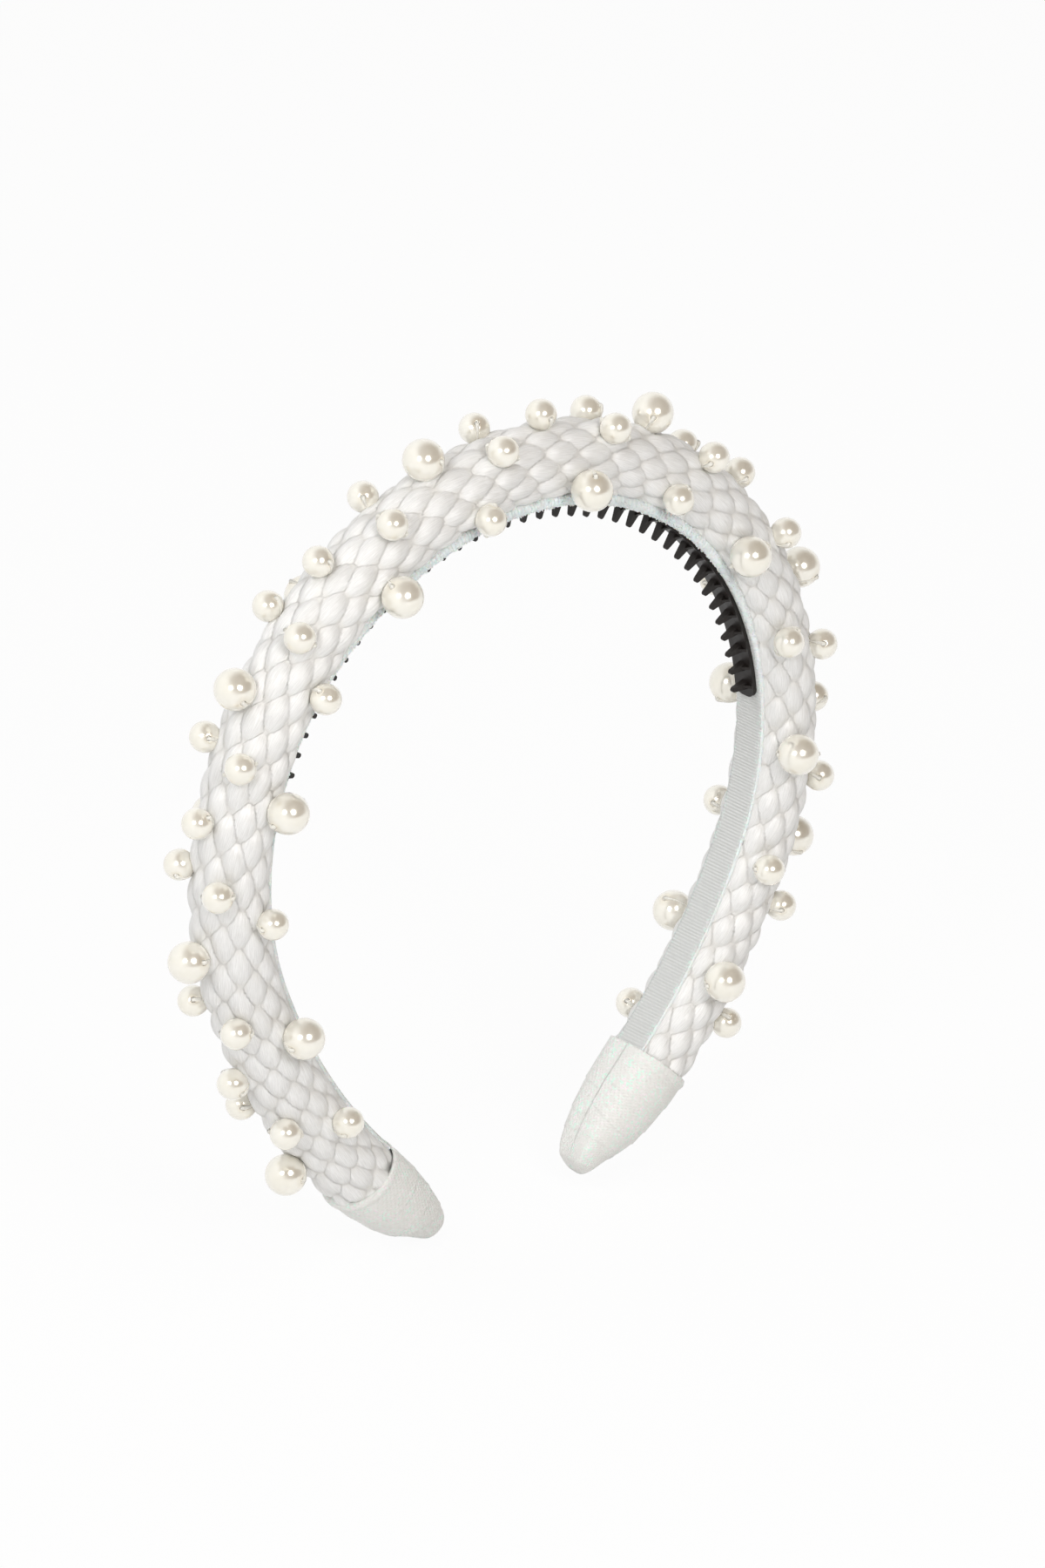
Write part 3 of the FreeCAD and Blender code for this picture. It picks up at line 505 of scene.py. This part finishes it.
def tubes(name, paths, radii, sides):
    """Round tubes along paths, as one mesh. Each path has a radius, or one for each of its points."""
    around = np.linspace(0, 2 * math.pi, sides, endpoint=False)
    points, quads, uvs = [], [], []
    count = 0
    for path, radius in zip(paths, radii):
        path = np.asarray(path)
        radius = np.broadcast_to(radius, len(path))[:, None]
        ahead = np.gradient(path, axis=0)
        ahead /= np.linalg.norm(ahead, axis=1)[:, None]
        first = np.cross(ahead, TUBE_POLE)
        first /= np.linalg.norm(first, axis=1)[:, None]
        second = np.cross(ahead, first)
        ring = (np.cos(around)[None, :, None] * first[:, None, :]
                + np.sin(around)[None, :, None] * second[:, None, :])
        points.append((path[:, None, :] + radius[..., None] * ring).reshape(-1, 3))
        run = np.concatenate([[0], np.cumsum(np.linalg.norm(np.diff(path, axis=0), axis=1))])
        uvs.append(np.stack(np.broadcast_arrays(run[:, None], around[None, :] * radius), -1).reshape(-1, 2))
        quads.append(grid_quads(len(path), sides, start=count))
        count += len(path) * sides
    return make_mesh(name, np.concatenate(points), np.concatenate(quads), {"length": np.concatenate(uvs)})


def curved(corners, steps=6):
    """A smooth path through corner points (Catmull-Rom)."""
    corners = np.asarray(corners)
    before = np.concatenate([corners[:1], corners[:-1]])
    after = np.concatenate([corners[1:], corners[-1:]])
    slope = (after - before) / 2
    path = []
    for index in range(len(corners) - 1):
        for step in range(steps):
            s = step / steps
            path.append((2 * s ** 3 - 3 * s ** 2 + 1) * corners[index]
                        + (s ** 3 - 2 * s ** 2 + s) * slope[index]
                        + (3 * s ** 2 - 2 * s ** 3) * corners[index + 1]
                        + (s ** 3 - s ** 2) * slope[index + 1])
    path.append(corners[-1])
    return np.array(path)


def build_threads(axes, material):
    """A thread loop through each bore, over the pearl's sides and down into the plait."""
    paths, radii = [], []
    taken = {name: 0 for name in axes}
    for name, radius, _, centre, out, _ in SPOTS:
        axis = axes[name][taken[name]]
        taken[name] += 1
        over = radius + THREAD_CLEAR
        for side in (-1, 1):
            drag = chance.uniform(-THREAD_DRAG, THREAD_DRAG) * np.cross(axis, out)
            corners = [centre + side * axis * (radius - THREAD_DEPTH), centre + side * axis * over]
            for swing in THREAD_SWINGS:
                lift = math.radians(swing)
                spoke = side * axis * math.cos(lift) - out * math.sin(lift) + drag * math.sin(lift)
                corners.append(centre + over * spoke / np.linalg.norm(spoke))
            corners.append(centre - out * (radius + THREAD_DEPTH) + side * axis * radius * 0.25)
            path = curved(corners)
            past_rim = np.linalg.norm(path - path[0], axis=1) - THREAD_DEPTH
            out_of_bore = np.clip(past_rim, 0, THREAD_TAPER) / THREAD_TAPER
            paths.append(path)
            radii.append(BORE_FILL + (THREAD - BORE_FILL) * out_of_bore)
    dress(tubes("pearl_threads", paths, radii, THREAD_SIDES), material)


# ---------------------------------------------------------------- plait


def build_plait(material):
    """The plaited cover: pillowed cells over a round tube with a flat side, dented by the pearls."""
    half = MOUTH + TUCK + WRAP_SHIFT[-1]
    run = np.linspace(-half, half, int(2 * half / PLAIT_STEP))
    around = np.linspace(-math.pi, math.pi, PLAIT_SIDES, endpoint=False)
    run, around = np.meshgrid(run, around, indexing="ij")
    arc = around * PLAIT_RADIUS
    column = (arc - DRIFT * run) / CELL_WIDTH
    along = run + SLANT * arc
    luck = chance.uniform(-1, 1, (COLUMNS, LUCK_PLACES, 5))
    best = np.full(run.shape, -9.0)
    heap = np.zeros(run.shape)
    ahead_best = np.zeros(run.shape)
    beside_best = np.zeros(run.shape)
    shade = np.zeros(run.shape)
    for side in (-1, 0, 1):
        lane = np.round(column) + side
        beside = (column - lane) * CELL_WIDTH
        shift = (lane % 2) * CELL_PITCH / 2
        for skip in (-1, 0, 1):
            place = np.round((along - shift) / CELL_PITCH) + skip
            turns = np.floor_divide(lane, COLUMNS)
            draw = luck[(lane % COLUMNS).astype(int), ((place - 2 * turns) % LUCK_PLACES).astype(int)]
            ahead = along - shift - place * CELL_PITCH + LUCK_ALONG * draw[..., 1]
            off = beside + LUCK_ACROSS * draw[..., 0] + LUCK_TURN * ahead * draw[..., 2]
            x = np.abs(ahead) / (CELL_PITCH / 2)
            y = np.abs(off) / CELL_WIDTH
            rise = LUCK_RISE * draw[..., 3] - END_DROP * x ** FALL - SIDE_DROP * y ** FALL
            heap += np.exp(SOFTNESS * np.clip(rise, -3, None))
            wins = rise > best
            best = np.where(wins, rise, best)
            narrow = np.sqrt(np.clip(1 - 0.75 * x ** 2, 0.15, 1))
            ahead_best = np.where(wins, ahead + FILAMENT_SHIFT * draw[..., 4], ahead_best)
            beside_best = np.where(wins, off / narrow, beside_best)
            shade = np.where(wins, 0.5 + 0.5 * draw[..., 4], shade)
    rise = np.log(heap + math.exp(-SOFTNESS * FLOOR_DROP)) / SOFTNESS
    flat_reach = CENTRE - LINING
    down = np.maximum(-np.cos(around), 1e-6)
    tube = np.where(np.cos(around) < -0.5, np.minimum(PLAIT_RADIUS, flat_reach / down), PLAIT_RADIUS)
    tube = tube - UNDERCUT * np.exp(-((around - UNDERCUT_AT) / UNDERCUT_REACH) ** 2)
    swell = np.clip((SWELL_END - np.abs(around)) / SWELL_FADE, 0, 1)
    swell = swell * swell * (3 - 2 * swell)
    rho = tube + swell * (CELL_RISE + rise)
    middle = on_band(run, 0.0, CENTRE)
    _, _, turn = arch(run)
    out = np.stack([np.sin(turn) * np.cos(around), -np.sin(around), np.cos(turn) * np.cos(around)], -1)
    for _, radius, spot_run, centre, _, _ in SPOTS:
        near = np.abs(run[:, 0] - spot_run) < radius + 4
        gap = middle[near] - centre
        slant = np.sum(out[near] * gap, -1)
        inside = slant ** 2 - np.sum(gap * gap, -1) + (radius - SEAT) ** 2
        reach = -slant - np.sqrt(np.clip(inside, 0, None))
        rho[near] = np.where((inside > 0) & (reach > 3), np.minimum(rho[near], reach), rho[near])
    points = middle + rho[..., None] * out
    quads = grid_quads(*run.shape)
    filament = np.stack([ahead_best, beside_best], -1)
    # The crest height goes into the mesh for the material's painted shade in the creases.
    piece = make_mesh("satin_plait", points, quads, {"filament": filament}, {"crest": rise, "shade": shade})
    dress(piece, material)
    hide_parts("braided_cover")


# ---------------------------------------------------------------- lining and edging

# The overlocked rolls: their radius on the legs, how much fuller they are over the crown, and where
# their middle lies beside and over the inner face.
EDGE_RADIUS = {-1: 0.32, 1: 0.32}
EDGE_FULLER = {-1: 0.75, 1: 0.1}
EDGE_PLACE = 3.45
EDGE_HEIGHT = 0.55
EDGE_FULL_AT = 12
EDGE_FULL_REACH = 62
# How far the rolls run on under the wraps' mouths, and their mesh.
EDGE_TUCK = 0.4
EDGE_STEP = 0.2
EDGE_SIDES = 14
# The yarn's loops: the gap between them and the yarn's radius.
LOOP_GAP = 0.34
LOOP_YARN = 0.09
# The ribbon's outline, as distance across the band and height over the inner face.
RIBBON_ACROSS = np.array([-3.5, -3.45, -3.0, -2.2, -1.2, 0.0, 1.2, 2.2, 3.0, 3.45, 3.5,
                          3.5, 3.45, 0.0, -3.45, -3.5])
RIBBON_HEIGHT = np.array([0.15, 0.05, 0.0, 0.0, 0.0, 0.0, 0.0, 0.0, 0.0, 0.05, 0.15,
                          0.35, 0.5, 0.5, 0.5, 0.35])
RIBBON_STEP = 0.5
# The ribbon's mint sheen starts this far from its middle and is full this much further out.
SHEEN_FROM = 2.2
SHEEN_REACH = 1.2


def build_lining(material, edge_material):
    """The ribbon along the inner face, with an overlocked edge down each side."""
    start = -MOUTH - TUCK - WRAP_SHIFT[-1]
    end = MOUTH + TUCK + WRAP_SHIFT[1]
    run = np.linspace(start, end, int((end - start) / RIBBON_STEP))
    edge = np.clip((np.abs(RIBBON_ACROSS) - SHEEN_FROM) / SHEEN_REACH, 0.0, 1)
    grid_run, across = np.meshgrid(run, RIBBON_ACROSS, indexing="ij")
    points = on_band(grid_run, across, np.broadcast_to(RIBBON_HEIGHT, grid_run.shape))
    girth = np.concatenate([[0], np.cumsum(np.hypot(np.diff(RIBBON_ACROSS), np.diff(RIBBON_HEIGHT)))])
    ribbon = np.stack(np.broadcast_arrays(run[:, None], girth[None, :]), -1)
    quads = grid_quads(len(run), len(RIBBON_ACROSS))[:, ::-1]
    piece = make_mesh("ribbon_lining", points, quads, {"ribbon": ribbon},
                      {"edge": np.broadcast_to(edge, grid_run.shape)})
    dress(piece, material)
    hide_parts("lining_ribbon")
    build_edging("front_overlock", -1, edge_material)
    build_edging("back_overlock", 1, edge_material)


def edge_fuller(side, run):
    """How much the roll gains over the crown."""
    return EDGE_FULLER[side] * np.exp(-((run - EDGE_FULL_AT) / EDGE_FULL_REACH) ** 4)


def build_edging(name, side, material):
    """A fuzzy overlocked roll under the plait's edge, with small loops of yarn standing off it."""
    start = -MOUTH - WRAP_SHIFT[-1] - EDGE_TUCK
    end = MOUTH + WRAP_SHIFT[1] + EDGE_TUCK
    run = np.linspace(start, end, int((end - start) / EDGE_STEP))
    roll = np.linspace(0, 2 * math.pi, EDGE_SIDES, endpoint=False)
    grid_run, grid_roll = np.meshgrid(run, roll, indexing="ij")
    fuller = edge_fuller(side, grid_run)
    wander = np.convolve(chance.normal(0, 1, len(run)), np.hanning(31) / 16, "same")[:, None]
    lump = chance.normal(0, 1, grid_run.shape)
    lump = (np.roll(lump, 1, 0) + lump + np.roll(lump, -1, 0) + np.roll(lump, 1, 1)) / 4
    ripple = 0.1 * np.sin(2 * math.pi * (grid_run / 0.8 + grid_roll / 7)) + 0.12 * lump
    radius = EDGE_RADIUS[side] + fuller + 0.06 * wander + ripple * (EDGE_RADIUS[side] + fuller)
    centre_y = side * (EDGE_PLACE + fuller + 0.05 * wander)
    points = on_band(grid_run, centre_y + radius * np.cos(grid_roll),
                     EDGE_HEIGHT + radius * np.sin(grid_roll))
    length = np.stack([grid_run, grid_roll * EDGE_RADIUS[side]], -1)
    comb_side = np.clip(0.3 - np.cos(grid_roll) - 0.6 * np.sin(grid_roll), 0, 1) * fuller / EDGE_FULLER[side]
    hem = make_mesh(name, points, grid_quads(*grid_run.shape), {"length": length}, {"comb_side": comb_side})
    dress(hem, material)
    paths = []
    for place in np.arange(start + 1, end - 1, LOOP_GAP):
        plump = float(edge_fuller(side, place))
        swing = chance.uniform(-2.4, 0.9)
        tall = chance.uniform(0.08, 0.2) + plump * 0.25
        wide = chance.uniform(0.12, 0.3)
        skew = chance.uniform(-0.5, 0.5)
        foot = EDGE_RADIUS[side] + plump - 0.1
        loop = []
        for share in np.linspace(0, math.pi, 6):
            reach = foot + tall * math.sin(share)
            turn = swing + skew * (share / math.pi - 0.5)
            loop.append(on_band(place - wide * math.cos(share),
                                side * (EDGE_PLACE + plump + reach * math.cos(turn)),
                                EDGE_HEIGHT + reach * math.sin(turn)))
        paths.append(loop)
    loops = tubes(name.replace("overlock", "yarn_loops"), paths, [LOOP_YARN] * len(paths), 5)
    dress(loops, material)


# ---------------------------------------------------------------- tip wraps

WRAP = 26.0
NOSE = 1.6
# The left wrap starts a little further from the crown, and the right one a little nearer.
WRAP_SHIFT = {-1: 1.6, 1: -1.4}
# Run from the mouth, radius of the round side, half of the flat side and the flat side's height.
WRAP_SECTIONS = np.array([
    (0.0, 8.34, 4.15, -0.5),
    (2.5, 8.34, 4.15, -0.5),
    (8.06, 8.0, 4.1, -0.35),
    (15.08, 6.95, 3.95, 0.4),
    (20.8, 5.1, 3.65, 1.7),
    (24.44, 3.6, 2.9, 3.1),
    (26.0, 2.2, 1.7, 4.8),
])
# The hem's rings inside the mouth: their run and how far each is turned in.
HEM_RUN = [0.9, 0.35, 0.05]
HEM_INWARD = [1.3, 1.1, 0.45]
# The hem's swell outside: its height, place and reach.
HEM_SWELL = 0.22
HEM_PLACE = 0.8
HEM_REACH = 0.7
WRAP_SIDES = 120
WRAP_STEP = 0.25
NOSE_RINGS = 12
NOSE_ROUNDING = 1.15
# The power that rounds the corners beside the flat side.
CORNER_POWER = -12
# The creases: how far they run on per radian, their runs, depth, fall, and the lip beside each.
WINDING = 1.1
CREASES = (6.3, 12.4, 16.9, 21.6)
CREASE_DEPTH = 0.16
CREASE_FALL = 1.5
CREASE_LIP = 0.25
LIP_FALL = 0.5


def eased(x, xs, ys):
    """Smooth interpolation that keeps to its points (monotone cubic)."""
    gap = np.diff(xs)
    rise = np.diff(ys) / gap
    slope = np.concatenate([[rise[0]], np.where(rise[1:] * rise[:-1] > 0, 2 * rise[1:] * rise[:-1]
                            / (rise[1:] + rise[:-1] + 1e-9), 0), [rise[-1]]])
    index = np.clip(np.searchsorted(xs, x) - 1, 0, len(xs) - 2)
    s = (x - xs[index]) / gap[index]
    return ((2 * s ** 3 - 3 * s ** 2 + 1) * ys[index] + (s ** 3 - 2 * s ** 2 + s) * gap[index] * slope[index]
            + (3 * s ** 2 - 2 * s ** 3) * ys[index + 1] + (s ** 3 - s ** 2) * gap[index] * slope[index + 1])


def build_wrap(node, name, side, material):
    """One tapered wrap: closed at the tip, open at the mouth, where its hem turns in over the plait."""
    end = WRAP - NOSE
    nose = end + NOSE * np.sin(np.linspace(0, math.pi / 2, NOSE_RINGS))
    x = np.concatenate([HEM_RUN, np.arange(0.0, end, WRAP_STEP), nose])
    inward = np.concatenate([HEM_INWARD, np.zeros(len(x) - len(HEM_INWARD))])
    hem = HEM_SWELL * np.exp(-((x - HEM_PLACE) / HEM_REACH) ** 2)
    rounding = NOSE_ROUNDING * (1 - np.sqrt(1 - np.clip((x - end) / NOSE, 0, 1) ** 2))
    radius = eased(x, WRAP_SECTIONS[:, 0], WRAP_SECTIONS[:, 1]) - inward + hem - rounding
    half_flat = eased(x, WRAP_SECTIONS[:, 0], WRAP_SECTIONS[:, 2]) - rounding
    low = eased(x, WRAP_SECTIONS[:, 0], WRAP_SECTIONS[:, 3]) + rounding * 0.6 + inward * 0.35
    centre = low + np.sqrt(np.clip(radius ** 2 - half_flat ** 2, 0, None)) + inward * 0.45
    around = np.linspace(-math.pi, math.pi, WRAP_SIDES, endpoint=False)
    grid_x, grid_around = np.meshgrid(x, around, indexing="ij")
    reach = (centre - low)[:, None] / np.maximum(-np.cos(grid_around), 1e-6)
    cornered = (radius[:, None] ** CORNER_POWER + np.abs(reach) ** CORNER_POWER) ** (1 / CORNER_POWER)
    rho = np.where(np.cos(grid_around) < 0, cornered, radius[:, None])
    wound = grid_x + side * WINDING * grid_around
    folds = np.zeros(grid_x.shape)
    for place in CREASES:
        bend = place + 0.8 * np.sin(grid_around * 1.7 + place) - wound
        folds += np.where(bend > 0, np.exp(-bend / CREASE_FALL), -CREASE_LIP * np.exp(bend / LIP_FALL))
    fade = np.clip(grid_x / 3, 0, 1) * np.clip((end - grid_x) / 3, 0, 1)
    rho = rho + CREASE_DEPTH * folds * fade
    height = centre[:, None] + rho * np.cos(grid_around)
    mouth = MOUTH + WRAP_SHIFT[side]
    points = on_band(side * (mouth + grid_x), -rho * np.sin(grid_around), height)
    pole = on_band(side * (mouth + x[-1]), 0.0, centre[-1])
    quads = grid_quads(*grid_x.shape)
    ring = np.arange(WRAP_SIDES) + (len(x) - 1) * WRAP_SIDES
    fan = np.stack([ring, np.roll(ring, -1), np.full(WRAP_SIDES, len(x) * WRAP_SIDES)], -1)
    if side < 0:
        quads = quads[:, ::-1]
        fan = fan[:, ::-1]
    uv = np.concatenate([np.stack([grid_x, grid_around * 7], -1).reshape(-1, 2), [[x[-1], 0.0]]])
    piece = make_mesh(name, np.concatenate([points.reshape(-1, 3), [pole]]), quads, {"wound": uv}, fan=fan)
    dress(piece, material)
    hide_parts(node)


# ---------------------------------------------------------------- camera, light and floor

# The camera's angles, its lens and sensor in millimetres, and its place in metres.
AZIMUTH = math.radians(41.0)
ELEVATION = math.radians(23.55)
ROLL = math.radians(1.57)
LENS = 246
SENSOR = 36
CAMERA_RIGHT = 0.001155
CAMERA_UP = -0.05244
CAMERA_BACK = 2.0
# The room: its level as light and as seen, and the colour and spread of its dim corner.
ROOM_LIGHT = 0.5
ROOM_SEEN = 1.0
DIM_CORNER = (0.20, 0.135, 0.07, 1)
DIM_FROM = 0.1
DIM_FULL = 0.85
# The floor: half its side and its gap under the band in metres, and its glow's share when seen.
FLOOR_HALF = 4.0
FLOOR_GAP = 0.0002
FLOOR_GLOW = 0.94


def build_camera():
    """A long lens at the picture's angle: to the left of the front, from above, tilted a little."""
    back = Vector((-math.sin(AZIMUTH) * math.cos(ELEVATION), -math.cos(AZIMUTH) * math.cos(ELEVATION),
                   math.sin(ELEVATION)))
    level = Vector((math.cos(AZIMUTH), -math.sin(AZIMUTH), 0))
    upright = back.cross(level)
    right = level * math.cos(ROLL) + upright * math.sin(ROLL)
    up = upright * math.cos(ROLL) - level * math.sin(ROLL)
    data = bpy.data.cameras.new("camera")
    data.lens = LENS
    data.sensor_width = SENSOR
    data.clip_end = 20
    camera = bpy.data.objects.new("camera", data)
    place = right * CAMERA_RIGHT + up * CAMERA_UP + back * CAMERA_BACK
    camera.matrix_world = Matrix.Translation(place) @ Matrix((right, up, back)).transposed().to_4x4()
    bpy.context.scene.collection.objects.link(camera)
    bpy.context.scene.camera = camera
    return right, up, back


def build_lamp(name, toward, target, distance, width, power):
    """A round softbox that faces the target."""
    data = bpy.data.lights.new(name, "AREA")
    data.shape = "DISK"
    data.size = width
    data.energy = power
    lamp = bpy.data.objects.new(name, data)
    direction = toward.normalized()
    facing = direction.to_track_quat("Z", "Y").to_matrix().to_4x4()
    lamp.matrix_world = Matrix.Translation(target + direction * distance) @ facing
    bpy.context.scene.collection.objects.link(lamp)
    return lamp


def build_light(right, up, back):
    """Softboxes beside the camera, a key from the left, one overhead, and a room with a dim corner."""
    target = Vector((0, 0, (cad_low.z + cad_high.z) / 2))
    build_lamp("softbox_left", back + right * -0.36 + up * 0.16, target,
               distance=1.5, width=0.46, power=4.5)
    build_lamp("softbox_right", back + right * 0.5 + up * 0.17, target,
               distance=1.5, width=0.62, power=8.0)
    key = build_lamp("softbox_key", back * 0.5 + right * -0.8 + up * 0.75, target,
                     distance=1.6, width=0.8, power=5.4)
    key.visible_glossy = False
    overhead = build_lamp("softbox_top", Vector((-0.1, -0.4, 1.0)), target,
                          distance=1.6, width=1.4, power=7.6)
    overhead.visible_glossy = False
    world = bpy.data.worlds.new("studio")
    world.use_nodes = True
    bpy.context.scene.world = world
    nodes, links = world.node_tree.nodes, world.node_tree.links
    sky = nodes["Background"]
    path = nodes.new("ShaderNodeLightPath")
    place = nodes.new("ShaderNodeTexCoord")
    dim = nodes.new("ShaderNodeVectorMath")
    dim.operation = "DOT_PRODUCT"
    corner = (back * 0.6 + right * 0.62 + up * 0.5).normalized()
    dim.inputs[1].default_value = corner
    links.new(place.outputs["Generated"], dim.inputs[0])
    spread = nodes.new("ShaderNodeMapRange")
    spread.interpolation_type = "SMOOTHSTEP"
    spread.inputs[1].default_value = DIM_FROM
    spread.inputs[2].default_value = DIM_FULL
    links.new(dim.outputs["Value"], spread.inputs[0])
    room = nodes.new("ShaderNodeMix")
    room.data_type = "RGBA"
    room.inputs[6].default_value = (1, 1, 1, 1)
    room.inputs[7].default_value = DIM_CORNER
    links.new(spread.outputs[0], room.inputs[0])
    camera_white = nodes.new("ShaderNodeMix")
    camera_white.data_type = "RGBA"
    camera_white.inputs[7].default_value = (1, 1, 1, 1)
    links.new(room.outputs[2], camera_white.inputs[6])
    links.new(path.outputs["Is Camera Ray"], camera_white.inputs[0])
    links.new(camera_white.outputs[2], sky.inputs["Color"])
    seen = path.outputs["Is Camera Ray"]
    for label in ("Is Glossy Ray", "Is Transmission Ray"):
        most = nodes.new("ShaderNodeMath")
        most.operation = "MAXIMUM"
        links.new(seen, most.inputs[0])
        links.new(path.outputs[label], most.inputs[1])
        seen = most.outputs[0]
    level = nodes.new("ShaderNodeMapRange")
    level.inputs[3].default_value = ROOM_LIGHT
    level.inputs[4].default_value = ROOM_SEEN
    links.new(seen, level.inputs[0])
    links.new(level.outputs[0], sky.inputs["Strength"])


def build_floor():
    """A white floor just under the dressed band, which keeps a soft trace of its shadow."""
    mesh = bpy.data.meshes.new("floor")
    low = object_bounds()[0].z - FLOOR_GAP
    mesh.from_pydata([(x * FLOOR_HALF, y * FLOOR_HALF, low) for x, y in ((-1, -1), (1, -1), (1, 1), (-1, 1))],
                     [], [(0, 1, 2, 3)])
    floor = bpy.data.objects.new("floor", mesh)
    bpy.context.scene.collection.objects.link(floor)
    finish = Finish("white_floor", Roughness=0.9)
    place = finish.node("TexCoord").outputs["Object"]
    tooth = finish.node("TexNoise", Vector=place, Scale=900.0, Detail=2.0).outputs[0]
    finish.link("Base Color", finish.blend(tooth, (0.84, 0.84, 0.84, 1), (0.86, 0.86, 0.86, 1)))
    path = finish.node("LightPath")
    glow = finish.node("Emission", Color=(1, 1, 1, 1), Strength=1.0).outputs[0]
    seen = finish.calculate("MAXIMUM", path.outputs["Is Camera Ray"], path.outputs["Is Glossy Ray"])
    seen = finish.calculate("MAXIMUM", seen, path.outputs["Is Transmission Ray"])
    share = finish.calculate("MULTIPLY", seen, FLOOR_GLOW)
    mixed = finish.node("MixShader", i0=share, i1=finish.shader.outputs[0], i2=glow).outputs[0]
    finish.tree.links.new(mixed, finish.tree.nodes["Material Output"].inputs["Surface"])
    mesh.materials.append(finish.material)


right, up, back = build_camera()
build_light(right, up, back)
thread = thread_finish()
axes = build_pearls(pearl_finish())
build_threads(axes, thread)
build_plait(plait_finish())
build_lining(lining_finish(), edging_finish())
wrap = wrap_finish()
build_wrap("left_tip_wrap", "left_glitter_wrap", -1, wrap)
build_wrap("right_tip_wrap", "right_glitter_wrap", 1, wrap)
for node, finish in (("comb_strip", comb_finish()), ("core_band", core_finish()),
                     ("foam_pad", foam_finish())):
    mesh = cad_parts[node].data
    mesh.materials.clear()
    mesh.materials.append(finish)
build_floor()

bpy.context.scene.view_settings.view_transform = "Standard"
